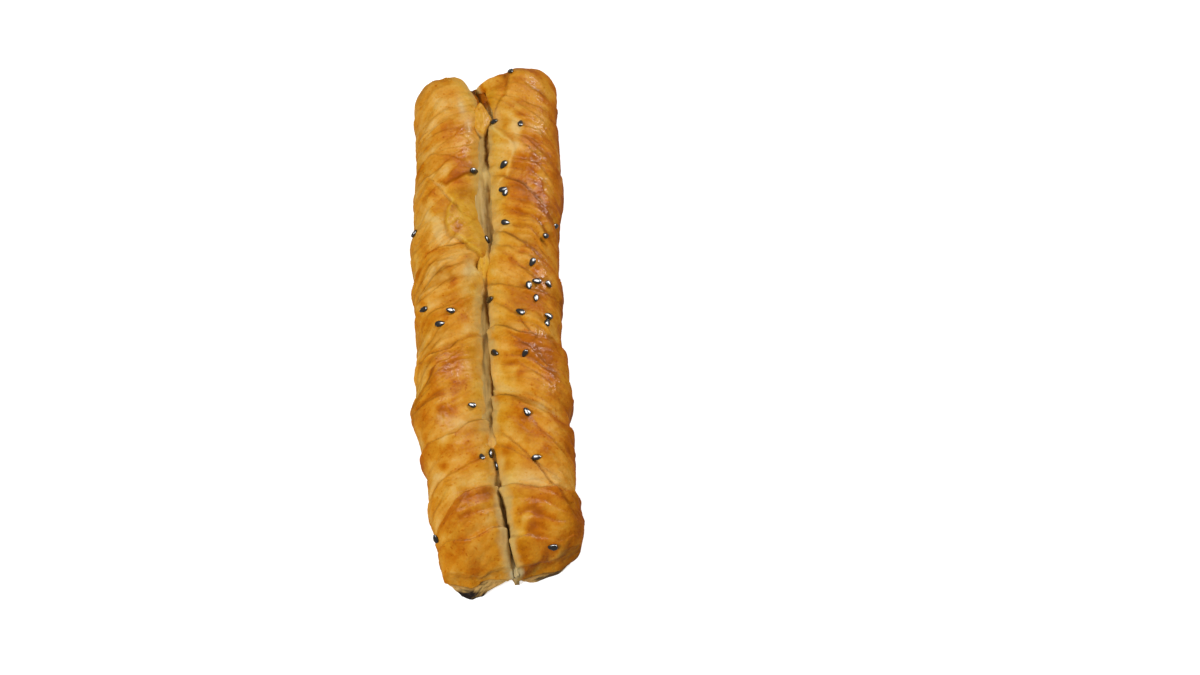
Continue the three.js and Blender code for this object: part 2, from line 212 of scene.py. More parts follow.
leftRoll = {
    "side": -1,
    "brow": 3.0,  # power of the section above the seam
    "near": -94.0,
    "far": 95.6,
    "nearLean": (-0.15, 0.25),  # across, up
    "farLean": (-0.13, 0.0),
    "farCut": (-1.5, 0.5),  # from this far across, the far end is cut back towards the seam by so much
    "nearCut": (3.0, 0.5),  # and the near end towards the outer side
    "square": 0.95,  # how much squarer the near end's outer corner is
    "edge": [
        (-97, -21.4), (-82, -22), (-67, -25.2), (-59, -25.1), (-46, -28.2), (-36, -29.6), (-27, -28.2),
        (12, -28), (22, -28.7), (46, -27.8), (70, -25.3), (86, -26.8), (98, -25),
    ],
    "folds": [
        (79, 2, 5, 0.4, -60, 130, 0.2), (62, 3, 5, 0.4, -60, 120, 0.2), (44, -16, -16, 0.6, 58, 102, 0.3),
        (71, 0.6, 5, 0.35, 55, 104, 0.2), (58.8, -6.4, -3.2, 0.45, 70, 104, 0.4),
        (18, 3.4, 3.1, 0.5, 65, 110, 0.4), (10.5, 2.1, 11.1, 0.6, 55, 100, 0.6),
        (0, 6.8, 5.2, 0.5, 70, 138, 0.5), (-16.3, 18.9, 18.9, 0.4, 38, 60, 0.7),
        (-19.5, 9.8, 8.5, 0.5, 72, 115, 0.35), (48, 8, -6, -0.7, 86, 118, 0.6),
        (23, 2.3, 11.5, 1.1, -60, 106, 1.0, 3), (15, 5.6, 21.8, 0.9, 42, 104, 1.0, 2),
        (-5, 12, 12, 0.5, 20, 74, 0.7), (-15.5, 7, 4, 0.7, -60, 150, 0.9),
        (-18, 17, 17, 0.3, 15, 62, 0.9), (-32, 6, 6, 0.3, -60, 70, 0.4),
        (-47.3, 8, 4, 1, -60, 165, 0.6), (-60.3, 7.4, 7.4, 0.7, -60, 120, 0.7),
        (-70.2, 4, 12.5, 1.2, -60, 150, 0.8), (-86.3, 4.6, 0.5, 0.8, -60, 140, 0.8),
    ],
    "flaps": [
        {
            "edge": [
                (15.5, 152), (18.2, 140), (20.8, 130), (22.8, 121), (26, 108),
                (28.4, 97), (31.5, 91), (37, 93), (41.8, 98), (47, 82),
            ],
            "rise": [(15.5, 0.4), (20, 1.2), (28, 1.4), (36, 0.6), (42, 0.2), (47, -0.2)],
            "browner": 0.08,
            "butter": 0.8,
        },
    ],
    "toast": [
        (70, 63, 5, 14, -0.8), (52, 84, 3.5, 16, -1.4), (49, 104, 1.7, 7, 0.9), (37.5, 68, 5, 16, -0.9),
        (31, 102, 3, 12, 1.2), (26, 109, 2.5, 9, 1.4), (19.2, 139, 2.5, 9, 1.5), (46.5, 117, 3, 9, 0.5),
        (45, 88, 2.5, 8, -0.6), (39, 115, 4, 10, -0.5), (12, 82, 5.5, 19, -1.5), (13.5, 118, 3.5, 12, -1.2),
        (22.5, 58, 3.5, 15, 1.3), (8.5, 125, 2.2, 8, 1.2), (2.5, 54, 5.5, 20, -1.0), (-5, 112, 4, 14, 0.4),
        (-22, 90, 5, 15, 0.5), (-36, 60, 9, 24, 0.25), (-36, 92, 7.5, 28, 1.3), (-44.5, 99, 4, 16, -0.4),
        (-50.5, 76, 4, 22, -1.2), (-54.5, 107, 4, 14, 0.35), (-59.5, 63, 3.5, 15, 0.8),
        (-59, 117, 3.5, 11, 0.9), (-71.5, 95, 3, 22, 0.3), (-74.5, 65, 3.5, 16, 0.25), (-74, 117, 5, 15, 1.0),
        (-84, 95, 5, 25, -0.1), (31, 72, 3, 18, -0.8), (82, 95, 10, 30, -0.2), (-66, 75, 4, 20, -0.12),
    ],
    "crinkled": [
        (65, 112, 8, 12, 0.9), (-23, 93, 6, 18, 0.9), (-76, 112, 8, 10, 0.6), (-40, 78, 9, 18, 0.6),
        (-54, 95, 5, 14, 0.5), (32, 103, 5, 12, 0.8), (-77, 82, 8, 30, 0.4), (-90, 85, 6, 35, 0.4),
    ],
    "rippled": [(14, 72, 9, 45, 1.0), (-14, 85, 8, 40, 0.8), (36, 60, 8, 30, 0.3), (-32, 65, 10, 40, 0.7)],
    "pits": [(16.6, 133, 1.7, 5, 0.9), (31.5, 103, 2.4, 12, -0.3)],  # a pit is sunk and darkened with painted shade; a pit below 0 is a knot
    "flour": [(79, 112, 4, 5, 0.6), (72, 119, 4, 5, 0.5), (-44, 100, 3, 16, 0.15), (14.5, 119, 4, 11, 0.4)],
    "tuck": (5.5, 8.0),  # height of the tucked edge at the near end: outer side, seam side
    "tip": -14.7,  # where across the layers under it stick out most
    "sideToastAndShade": 0.0,  # browner down the outer side, on the right roll partly painted shade on the side away from the light
    "start": 11,
}

rightRoll = {
    "side": 1,
    "brow": 4.2,
    "near": -90.0,
    "far": 98.5,
    "nearLean": (0.24, 0.1),
    "farLean": (0.12, -0.05),
    "farCut": (0.5, 0.54),
    "nearCut": (3.5, 0.5),
    "square": 0.9,
    "edge": [
        (-95, 24.5), (-86, 25.8), (-78, 24.8), (-56, 24.8), (-41, 22.8), (-33, 24.7),
        (-2, 22), (9, 23.4), (22, 22.3), (42, 25), (86, 25.6), (101, 25),
    ],
    "folds": [
        (82, 4, 8, 0.4, -60, 110, 0.2), (66, 6, 12, 0.4, -60, 100, 0.4), (45.6, 9, 17.5, 0.9, -60, 125, 0.9),
        (23, 9, 11, 0.7, -60, 140, 0.8), (19.2, 6.7, 6.7, 0.4, 78, 125, 0.7),
        (5.7, 4.2, 4.2, 0.6, -60, 145, 0.8), (-9.2, 17, 17, 0.4, 84, 123, 0.8),
        (-12, 5.6, 2.4, 0.8, -60, 160, 0.9), (-16.8, 13, 13, 0.4, 66, 102, 0.7),
        (-39.6, 9, 6, 1, -60, 155, 0.8), (-44, 18, 18, 0.4, 40, 92, 0.6), (-61, 21, 24, 0.6, 50, 125, 0.9),
        (-69.3, 5, 1.5, 1.2, -60, 150, 0.5), (-86, 5.5, 3, 0.7, 50, 145, 0.7),
        (-2.8, 12, 12.1, 0.5, 20, 52, 0.5), (69, 5, 5.2, 0.4, 35, 85, 0.3),
    ],
    "flaps": [
        {
            "edge": [(47, 126), (49.5, 115), (57, 105), (61.2, 105), (67.2, 118), (72.2, 130), (74, 137)],
            "rise": [(47, 0.4), (74, 0.4)],
            "browner": -0.1,
            "butter": 0.2,
        },
        {
            "edge": [
                (74, 140), (74.8, 131), (78.8, 129), (83, 118), (86.5, 106), (89.5, 101), (97, 96), (106, 94),
            ],
            "rise": [(74, -0.6), (80, -1.6), (97, -1.8)],
            "browner": 0.16,
            "butter": 0.2,
        },
        {
            "edge": [(79, 151), (81, 144), (86.3, 142), (90.3, 142), (97, 139), (106, 137)],
            "rise": [(79, -0.5), (84, -1.4), (97, -1.6)],
            "browner": 0.45,
            "butter": -0.4,
        },
    ],
    "toast": [
        (80, 52, 8, 12, 0.5), (56, 20, 9, 9, -0.9), (72, 101, 9, 14, -1.2), (61, 100, 4, 10, -0.6),
        (52, 84, 7, 28, 0.5), (47, 64, 6, 12, 1.0), (38, 40, 8, 16, 0.35), (37, 100, 4, 16, 0.3),
        (29, 134, 9, 16, -0.6), (20, 90, 5, 16, -0.7), (11.5, 67, 4, 10, 0.5), (5, 101, 4, 16, -0.5),
        (-4, 64, 5, 12, 0.4), (-26, 58, 5, 12, 0.8), (-28, 112, 4, 14, 0.9), (-39, 73, 4, 12, -0.4),
        (-41, 143, 4, 10, -1.0), (-43, 98, 4, 14, 0.3), (-52, 102, 4, 14, 0.3), (-58, 130, 4, 13, 0.9),
        (-66, 95, 4, 26, -0.3), (-78, 111, 5, 20, 1.1), (-90, 120, 4, 30, 0.5),
    ],
    "crinkled": [
        (78, 66, 14, 14, 0.9), (54, 74, 12, 20, 1.0), (32, 62, 12, 16, 1.0), (9, 62, 8, 14, 1.0),
        (-6, 66, 8, 16, 0.9), (-18, 74, 8, 20, 0.8), (-32, 58, 10, 14, 0.5), (-44, 84, 5, 16, 0.5),
        (-76, 98, 8, 28, 0.5), (-89, 90, 6, 30, 0.4),
    ],
    "rippled": [
        (33, 85, 16, 40, 0.7), (8, 85, 12, 40, 0.8), (-13, 80, 9, 40, 0.7),
        (66, 75, 14, 35, 0.5), (-34, 70, 12, 40, 0.6),
    ],
    "pits": [(84.5, 150, 1.8, 4, 0.7), (89, 160, 1.6, 6, 0.7)],
    "flour": [(56, 20, 9, 8, 0.15), (75, 130, 5, 7, 0.35), (-65, 100, 4, 30, 0.15)],
    "tuck": (1.5, 4.0),
    "tip": 11.0,
    "sideToastAndShade": 0.48,
    "start": 23,
}

# The seam that joins the rolls: its line, its overlap, and the dough that lies in it.
seamForm = {
    "line": [
        (-97, 3.2), (-80, 0.6), (-64, -0.6), (-46, -3), (5, -3.1),
        (24, -0.9), (38, -2.2), (57, -1.3), (74, -0.6), (82, -1.6), (90, -4.4), (101, -7),
    ],
    "strays": [(0.35, 9.0), (0.2, 2.6)],
    "lap": -1.2,
    "laps": [  # along, run, lap
        (40, 12, -1.8), (54, 3.5, 1.4), (15, 9, 3.4), (-52, 7, 3.0),
        (-63, 5, 1.4), (86, 12, 1.4), (-84, 14, 0.5),
    ],
    "top": [  # (along, height)
        (-93.6, 9), (-92, 11), (-88, 12), (-84, 12), (-74, 16), (-64, 19), (-60, 19.2), (-56, 20), (-51, 22),
        (-46, 20.8), (-38, 19.6), (8, 19.4), (16, 21), (24, 19.8), (32, 19.4), (48, 19.4), (54, 20.6),
        (60, 19.8), (68, 20.4), (73, 20.4), (82, 19.6), (88, 18), (93, 13),
    ],
    # (along, across), then (along, depth) and (along, how much painted shade)
    "crackAt": [
        (-62, 0.2), (-40, 1), (-33, 1.2), (-13, 1.6), (0, 0.3), (14, 0.6), (24, 0.5), (34, 1.1), (50, 1.2),
        (60, 0.7), (66, 0.2),
    ],
    "crackDepth": [
        (-92, 0), (-62, 0.4), (-56, 0), (-46, 0), (-40, 0.8), (10, 0.9), (18, 0.2), (26, 0.3), (48, 0.4),
        (54, 0.1), (60, 1.4), (67, 1),
    ],
    "shade": [
        (-94, 0.05), (-89, 0.2), (-84, 0.6), (-72, 0.55), (-66, 0.3), (-61, 0.12), (-56, 0.05), (-46, 0.05),
        (-40, 0.35), (-13, 0.42), (8, 0.5), (18, 0.1), (28, 0.45), (46, 0.5), (54, 0.1), (60, 0.5), (68, 0.5),
    ],
    "crackWidth": 0.6,
    "crackVary": (0.6, 4.0),  # how much its width varies, and how often
    "crackStrays": [(0.5, 3.2), (0.3, 1.2)],
    # from, to, where widest, shift, half width, height, fall
    "leaf": (68.6, 82.5, 0.42, -0.7, 3.2, 23.4, 0.4),
    "leafLeft": 1.8,  # how much further the leaf reaches under the left roll
    "leafStray": (0.35, 2.0),  # how far its edge wanders, and how often
    "leafWrinkle": (0.7, 1.6),  # height, size
    "leafSag": 2.2,
    "farBrown": (0.6, 79, 84),  # beyond the leaf: how much browner, from, to
    "farShade": (0.4, 80, 86),
    "halfWidth": 5.0,
    "narrow": (0.16, 9.0),  # share of the width at the near end, and the run over which it widens
    "step": 0.4,
    "columns": 40,
    "hollow": 0.13,  # the floor rises towards the rolls
    "sides": (3.1, 3.0, 1.6),  # and falls away under them beyond this, left and right, by so much
    "opened": (40, 17),  # the open stretch: along, run
    "slant": 0.06,  # it falls towards the right roll
    "strand": (0.35, 0.9),  # height, size
    "lump": (0.3, 3.0),
    "bridge": (19, 4.5, -0.9, 1.5),  # along, run, shift across, height
    "bridgeHalf": 4.5,
    "yellow": (-4, 1.6),  # its yellow skin: shift along, how much longer
    "bake": (0.25, 0.05, 0.1),  # plain, more on the bridge, more on the leaf
    "bakePatch": (0.15, 3.0),
    "rawEnd": (78, 83),
    "closed": (0.6, -52, 6),  # less raw where the near crossing closes the seam: how much, along, run
    "paleEnd": (0.6, -86, -91),  # how pale the near end is, from, to
    "paleStrands": (0.1, 0.35),  # in the open stretch: plain, more on the strands
    "strandShade": (0.4, 2.2),  # painted shade between the strands: how dark, how wide
    "shadeWidth": 3.0,
    "crackShade": 0.55,  # how dark the painted shade in the crack is
    "leafRimShade": (0.2, 0.4),  # painted shade under the leaf's right edge: how dark, how wide
    # painted shade in the valleys of the leaf's wrinkles
    "leafWrinkleShade": 0.15,
    "leafGlaze": 0.3,
    "butter": (0.6, 0.95),  # how yellow the leaf is, and the bridge
    "start": 37,
}

halfHeight = (rollForm["crownHeight"] + rollForm["sagFlat"]) / 2
centreHeight = halfHeight - rollForm["sagFlat"]


def lineNoise(y, size, start):
    # noise along a line
    y = np.asarray(y, float)
    return noise(np.stack([y, 0 * y + 0.4 * size, 0 * y + 0.7 * size], -1), size, start)


def seamAt(y):
    wander = sum(most * lineNoise(y, size, seamForm["start"]) for most, size in seamForm["strays"])
    return along(seamForm["line"], y) + wander


def lapAt(y):
    # how much more the rolls overlap here
    return sum(more * bell(y - at, run) for at, run, more in seamForm["laps"])


def section(roll, y):
    # half the width of a roll, and where its middle lies
    edge = along(roll["edge"], y)
    lap = seamForm["lap"] + lapAt(y)
    width = roll["side"] * (edge - seamAt(y)) + lap / 2
    return width / 2, edge - roll["side"] * width / 2


def skinRadius(roll, halfWidth, angle):
    # from the middle of a roll to its plain skin
    across, up = np.cos(np.radians(angle)), np.sin(np.radians(angle))
    outer = across >= 0
    shoulder = np.where(outer, rollForm["shoulder"], roll["brow"])
    foot = np.where(outer, *rollForm["foot"])
    power = np.where(up >= 0, shoulder, foot)
    return (abs(across / halfWidth) ** power + abs(up / halfHeight) ** power) ** (-1 / power)


def turned(angle):
    # the same angle, counted from where folds start
    return np.mod(angle - foldForm["wrapStart"], 360) + foldForm["wrapStart"]


def lineAt(at, inner, outer, angle, bend=1):
    # where a fold line lies along the roll: place is -1 at the outer side, 0 at the crown, 1 at the seam
    start, reach = foldForm["wrapStart"], foldForm["wrapReach"]
    place = -np.cos(np.radians(angle))
    place = np.where(angle < 0, -1 - reach * angle / start, place)
    place = np.where(angle > 180, 1 - (2 + reach) * (angle - 180) / (180 + start), place)
    beyond = np.maximum(-place - 1, 0)
    return at + np.where(place > 0, inner * place, -outer * (np.clip(-place, 0, 1) ** bend + beyond))


def minorFolds(roll):
    # short fine creases between the large folds, nearly along them
    draw = np.random.default_rng(roll["start"])
    inset = foldForm["minorInset"]
    folds = []
    for at in np.linspace(roll["near"] + inset, roll["far"] - inset, foldForm["minorCount"]):
        middle, half, shift, rise, mark, stray = (draw.uniform(*span) for span in foldForm["minorRanges"])
        folds.append((at + stray, shift, shift, rise, middle - half, middle + half, mark))
    return folds


def foldField(roll, y, angle, skin):
    # height of the folds, their dark lines of painted shade, and how much browner or paler they bake, with a
    # painted highlight along each edge
    round_ = turned(angle)
    wander = layeredNoise(skin, foldForm["strays"], roll["start"], 0)
    wider, size = foldForm["soften"]
    soft = smooth(-0.2, 0.6, noise(skin, size, roll["start"] + 12))
    half = foldForm["half"] + wider * soft
    broken = 0.25 + 0.75 * smooth(-0.35, 0.35, noise(skin, foldForm["breakSize"], roll["start"] + 13))
    broken = broken * (1 - 0.5 * soft)
    lip, lipRun = foldForm["lip"]
    dip, dipRun = foldForm["dip"]
    dark, lineWidth = foldForm["line"]
    browner, brownRun = foldForm["browner"]
    paler, paleRun = foldForm["paler"]
    rim, rimWidth = foldForm["rim"]
    valleyBrownAndShade, valleyWidth = foldForm["valleyBrownAndShade"]
    height = line = tintAndShading = 0
    for at, inner, outer, rise, first, last, mark, *bend in roll["folds"] + minorFolds(roll):
        gap = y - lineAt(at, inner, outer, round_, *bend) + wander
        shown = smooth(first - foldForm["fade"], first, round_)
        shown = shown * (1 - smooth(last, last + foldForm["fade"], round_))
        beyond = smooth(-half, half, gap)
        upper = decay(-gap, foldForm["tail"]) + lip * decay(-gap, lipRun)
        lower = -dip * decay(gap, dipRun)
        height = height + rise * shown * (upper * (1 - beyond) + lower * beyond)
        # painted shade in a line below each edge and at its foot, and a painted highlight along the edge
        line = line + dark * shown * broken * mark * bell(gap - 0.6 * half, lineWidth)
        baked = browner * decay(-gap, brownRun) * (1 - beyond)
        baked = baked - paler * decay(gap - half, paleRun) * beyond
        edge = valleyBrownAndShade * bell(gap - 0.6, valleyWidth) - rim * broken * bell(gap + 0.5, rimWidth)
        tintAndShading = tintAndShading + shown * (rise * baked + mark * edge)
    return height, line, tintAndShading


def flapField(roll, y, angle, halfWidth, skin):
    # height of the flaps, the painted shadow at their edges, and how much browner and yellower they are, with a
    # painted highlight along raised edges and painted shade beyond sunken ones
    round_ = turned(angle)
    wander = swing(skin, flapForm["stray"], roll["start"] + 21)
    dark, lineWidth, size = flapForm["line"]
    broken = 0.4 + 0.6 * smooth(-0.4, 0.4, noise(skin, size, roll["start"] + 22))
    paler, rimWidth = flapForm["rim"]
    browner, brownRun = flapForm["sunken"]
    height = line = tintAndShading = butter = 0
    for flap in roll["flaps"]:
        start, end = flap["edge"][0][0], flap["edge"][-1][0]
        shown = smooth(start - 1, start + 2, y) * (1 - smooth(end - 2, end + 1, y))
        shown = shown * (round_ < flapForm["lastTurn"])
        gap = np.radians(round_ - along(flap["edge"], y)) * 0.5 * (halfWidth + halfHeight) + wander
        rise = along(flap["rise"], y)
        raised = rise > 0
        blur = np.where(raised, *flapForm["blur"])
        over = smooth(-blur, blur, gap)
        height = height + shown * rise * over
        # painted shadow at the foot of a raised edge; painted highlight along it, painted shade beyond a sunken
        # one
        shadowDark = np.where(raised, np.minimum(dark, 0.5 * rise), 0)
        line = line + shown * broken * shadowDark * bell(gap + 0.5, lineWidth)
        rim = np.where(raised, -paler * bell(gap - 0.5, rimWidth), browner * decay(gap, brownRun))
        tintAndShading = tintAndShading + shown * over * (flap["browner"] + rim)
        butter = butter + shown * over * flap["butter"]
    return height, line, tintAndShading, butter


def intoEnd(roll, y):
    # 0 along the side of a roll, up to 1 at its end
    near = (roll["near"] + rollForm["nearRound"] - y) / rollForm["nearRound"]
    far = (y - roll["far"] + rollForm["farRound"]) / rollForm["farRound"]
    return np.clip(np.maximum(near, far), 0, 1)


def leaned(roll, x, y, z, centre):
    # each end leans, and one of its corners is cut back
    across, up = roll["side"] * (x - centre), z - centreHeight
    shift = 0
    for end, outward in (("near", -1), ("far", 1)):
        beyond = outward * (y - roll[end])
        leanAcross, leanUp = roll[end + "Lean"]
        shift = shift + (leanAcross * across + leanUp * up) * smooth(-rollForm["leanRun"], 0, beyond)
        cutFrom, cutSlope = roll[end + "Cut"]
        cut = cutSlope * np.maximum(outward * (cutFrom - across), 0)
        shift = shift - outward * cut * smooth(-rollForm["cutRun"], 0, beyond)
    return np.stack([x, y + shift, z], -1)


def spots(places, y, angle):
    return sum(
        amount * bell(y - at, run) * bell(angle - middle, turn)
        for at, middle, run, turn, amount in places
    )


def wrapNoise(flow, turn, breaks, size, start):
    # noise that follows the flow round the roll and breaks off a few times on its way
    return noise(np.stack([flow, breaks * np.cos(turn), breaks * np.sin(turn)], -1), size, start)


def doughRelief(roll, y, angle, bare):
    # soft swellings, sharp little valleys along the folds with painted shade in them, crinkled glazed places
    # and a few blisters
    start = roll["start"]
    turn = np.radians(angle)
    round_ = turned(angle)
    swell = layeredNoise(bare, rollForm["swells"], start + 1, 0)
    inner, outer, bend = rollForm["flow"]
    flow = y - lineAt(0, inner, outer, round_, bend) + swing(bare, rollForm["flowStray"], start + 2)
    least, more, size = rollForm["gather"]
    gather = least + more * smooth(-0.35, 0.45, noise(bare, size, start + 3))
    gather = gather + np.clip(spots(roll["rippled"], y, round_), 0, 1)
    wrinkleWidth, crinkleWidth = rollForm["creaseWidth"]
    wrinkle = creaseShade = 0
    for height, size, breaks in rollForm["wrinkles"]:
        wave = wrapNoise(flow, turn, breaks, size, start + 4)
        wrinkle = wrinkle + height * gather * valleys(wave)
        creaseShade = creaseShade + gather * bell(wave, wrinkleWidth)
    flow = flow + swing(bare, rollForm["streakStray"], start + 8)
    streak = 0
    for browner, size, breaks in rollForm["streaks"]:
        streak = streak + browner * wrapNoise(flow, turn, breaks, size, start + int(10 * size))
    height, size = rollForm["crumple"]
    crumple = height * valleys(noise(bare, size, start + 5))
    grain = swing(bare, rollForm["grain"], start + 6)
    height, size = rollForm["blister"]
    blister = height * smooth(0.25, 0.75, noise(bare, size, start + 7))
    height, size, patch = rollForm["crinkle"]
    crinkled = np.clip(spots(roll["crinkled"], y, round_), 0, 1)
    crinkled = crinkled * smooth(-0.6, 0.15, noise(bare, patch, start + 9))
    large, small = noise(bare, size, start + 10), noise(bare, size / 2, start + 11)
    crinkle = height * crinkled * (1.5 * large + abs(small) - 0.2)
    creaseShade = creaseShade + 0.6 * crinkled * bell(large + 0.2, crinkleWidth)
    return {
        "swell": swell,
        "wrinkle": wrinkle,
        "fine": crumple + grain + blister + crinkle,
        "creaseShade": creaseShade,
        "streak": streak,
        "crinkled": crinkled,
    }


def tuckHeight(roll, angle):
    # height of the tucked edge, from the outer side to the seam
    outer, inner = roll["tuck"]
    return outer + (inner - outer) * (0.5 - 0.5 * np.cos(np.radians(angle)))


# The end of a roll: the skin is folded over it and tucked in, and the layers below show under that edge
endForm = {
    "overhang": 0.9,
    "overhangRun": 6.0,
    "edgeStray": (1.3, 7.0),  # how far the tucked edge wanders, and how often
    "layer": 1.9,  # height of a layer
    "layerStray": (0.8, 6.0),
    "layerDepth": 0.45,
    "dimple": 1.2,
    "crumples": [(0.45, 6.0), (0.3, 2.6)],  # height, size
    "streak": (0.16, 4.0),  # how much browner, size
    "narrow": 0.6,  # how much narrower the layers get towards the tray
    "stickOut": (1.0, 5.0),  # how far they stick out at their tip, and how wide that is
}


def rollSkin(roll, y, angle, share=1.0):
    # points of a roll's skin, and what its colours need
    y, angle, share = np.broadcast_arrays(np.asarray(y, float), angle, share)
    halfWidth, centre = section(roll, y)
    turn, round_ = np.radians(angle), turned(angle)
    out, up = np.cos(turn), np.sin(turn)
    plain = skinRadius(roll, halfWidth, angle)
    bare = np.stack([centre + roll["side"] * plain * out, y, centreHeight + plain * up], -1)
    folds, foldLine, tintAndShading = foldField(roll, y, angle, bare)
    flaps, flapShadow, flapTintAndShading, flapButter = flapField(roll, y, angle, halfWidth, bare)
    lumps = sum(
        height * np.sin(2 * math.pi * y / length + turns * turn + roll["side"])
        for height, length, turns in rollForm["lumps"]
    )
    dough = doughRelief(roll, y, angle, bare)
    inEnd = intoEnd(roll, y)
    flat = np.sqrt(1 - inEnd ** 2)
    onSide = 1 - smooth(0.55, 1.0, inEnd) * (1 - 0.4 * smooth(0.85, 1.0, share))
    endRound = np.where(y < 0, rollForm["nearRound"], rollForm["farRound"]) / halfHeight
    down = np.maximum(-up, 0)
    inward = smooth(0, 0.9, -out) * (1 - np.where(y < 0, *rollForm["seamRound"]))
    outward = np.maximum(out, 0) * roll["square"] * (y < 0)
    kept = (1 - (1 - rollForm["footRound"]) * down) * (1 - inward) * (1 - outward)
    shrink = 1 - endRound * kept * (1 - np.cos(np.arcsin(inEnd)))
    ripple = dough["wrinkle"] * flat * (1 - ramp(rollForm["seamCalm"], round_))
    streak = (1 - flat) * swing(bare * share[..., None], endForm["streak"], roll["start"] + 25)
    streak = streak + dough["streak"] * flat
    pits = spots(roll["pits"], y, round_)
    relief = rollForm["trim"] + folds + flaps + lumps + dough["swell"] + ripple + dough["fine"]
    relief = relief - rollForm["pitDepth"] * pits
    radius = (plain + relief * np.maximum(flat, 0.25)) * shrink * share
    x = centre + roll["side"] * radius * out
    run, sunk = rollForm["droop"]
    z = np.maximum(centreHeight + radius * up, 0)
    z = z * (1 - sunk * np.clip((roll["near"] + run - y) / run, 0, 1) ** 2)
    # the tucked edge and the layers under it, pushed out along the roll
    atEnd = smooth(0.35, 0.85, inEnd)
    spot = np.stack([x, y, z], -1)
    edge = tuckHeight(roll, angle) + swing(spot, endForm["edgeStray"], roll["start"] + 14)
    above = smooth(-0.5, 0.5, z - edge)
    overhang = endForm["overhang"] * above * decay(z - edge, endForm["overhangRun"])
    layers = (z + swing(spot, endForm["layerStray"], roll["start"] + 15)) / endForm["layer"]
    ridge = layers - np.floor(layers)
    lip = atEnd * (1 - above)
    dimple = endForm["dimple"] * (1 - smooth(0.2, 0.9, share)) * inEnd
    below = lip * smooth(-1, 7, edge - z) * (y < 0)
    x = x + endForm["narrow"] * below * (roll["tip"] - x)
    outward = np.where(y < 0, -1, 1)
    crumpled = layeredNoise(spot, endForm["crumples"], roll["start"] + 27)
    push = atEnd * (overhang + crumpled) - endForm["layerDepth"] * lip * ridge ** 2 - dimple
    stickOut, width = endForm["stickOut"]
    push = push + stickOut * below * bell(x - roll["tip"], width)
    points = leaned(roll, x, y + outward * push, z, centre)
    # painted shade just under the tucked edge and in the gaps between the layers
    tuckShade = atEnd * bell(z - edge + 0.3, 0.6) + 0.6 * lip * smooth(0.7, 1.0, ridge)
    # painted shade in the valleys of the wrinkles and crinkles
    creaseShading = rollForm["creaseShading"] * dough["creaseShade"] * (1 - lip)
    # tone from swellings and fine relief, with the flaps' painted highlight and shade and the ripples' painted
    # light and shade
    softTintAndShading = flapTintAndShading + rollForm["swellTint"] * dough["swell"] + rollForm["fineTint"] * dough["fine"]
    softTintAndShading = softTintAndShading + rollForm["rippleShading"] * ripple
    marks = {
        # the dark line mark: painted shade below fold edges, at the flaps, in pits, creases and under the
        # tucked edge
        "line": np.clip(foldLine * flat + flapShadow + pits + creaseShading + tuckShade, 0, 1),
        "tintAndShading": tintAndShading * flat + softTintAndShading * onSide + streak,
        "lip": lip,
        "glaze": dough["crinkled"] * (1 - lip),
        "butter": flapButter,
        "flat": flat,
        "onSide": onSide,
    }
    return points, marks


# Browning: how much each place baked, was left pale in the seam, or burned
bakeForm = {
    "plain": (0.43, 0.54),  # left, right
    "toast": (0.5, 0.7),
    "uneven": (0.6, 0.9, 4.0),  # strength of the toast, how much that varies, and how often
    "patches": [(0.2, 10.0), (0.16, 4.2)],  # slow and quick changes: how much browner, size
    "sideTurn": (-15, 58),  # angles over which the outer side gets browner and, on the right roll, painted shade
    "seam": (0.16, 0.32),  # paler towards the seam, left and right
    "seamTurn": (98, 142),
    "cuff": (0.03, -66, -75),  # browner at the near ends: how much, from, to
    "under": 0.72,
    "underTurn": ((215, 235), (-58, -45)),  # angles over which the underside begins and ends
    "inSeam": (90, 240),  # angles that face the other roll
    "paleWidth": (4.6, 3.2),  # the pale stretch on the left and the right side of the seam
    "paleMore": (1.8, 42, 20),  # wider where the seam is open: how much, along, run
    "ragged": [(1.4, 4.5), (0.6, 1.6)],  # how far its border wanders, and how often
    "lapCover": (1.0, 3.0),  # overlaps over which it gets covered
    "flapCover": (0.9, 158, 138),  # how much of it a yellow flap covers, and at which angles
    "lipPale": (0.45, 0.3, 5.0),  # how pale the lips of the ends are, how much that varies, and how often
    "wall": (0.5, 3.8),  # the wider pale wall of the left roll at the near end
    "wallAlong": (-66, -58),
    "wallFlour": 0.5,
    "lipFlour": 0.22,
    "flourPatch": (3.0, -93.0, 10.0, 3.2, 0.9),  # place, reach, how pale
    "cleftShade": (0.4, 18.0, 13.0),  # painted shade down the seam's walls: how dark, from, to
    "cleftGap": (0.3, 1.6),
    "butter": (0.5, 95, 140),  # how much yellower towards the seam, from, to
    "butterPatch": (0.5, 12.0),
    # across, along, run across, run along, height, how black
    "burns": [
        (-13.8, -99, 7.5, 5.0, 5.0, 1.0), (13.5, -90.5, 5.5, 2.8, 2.4, 0.8), (2, 99, 6, 6, 4.0, 1.0),
    ],
    "burnRagged": [(0.5, 2.5), (0.3, 0.9)],
    "burnGlaze": 0.8,
}


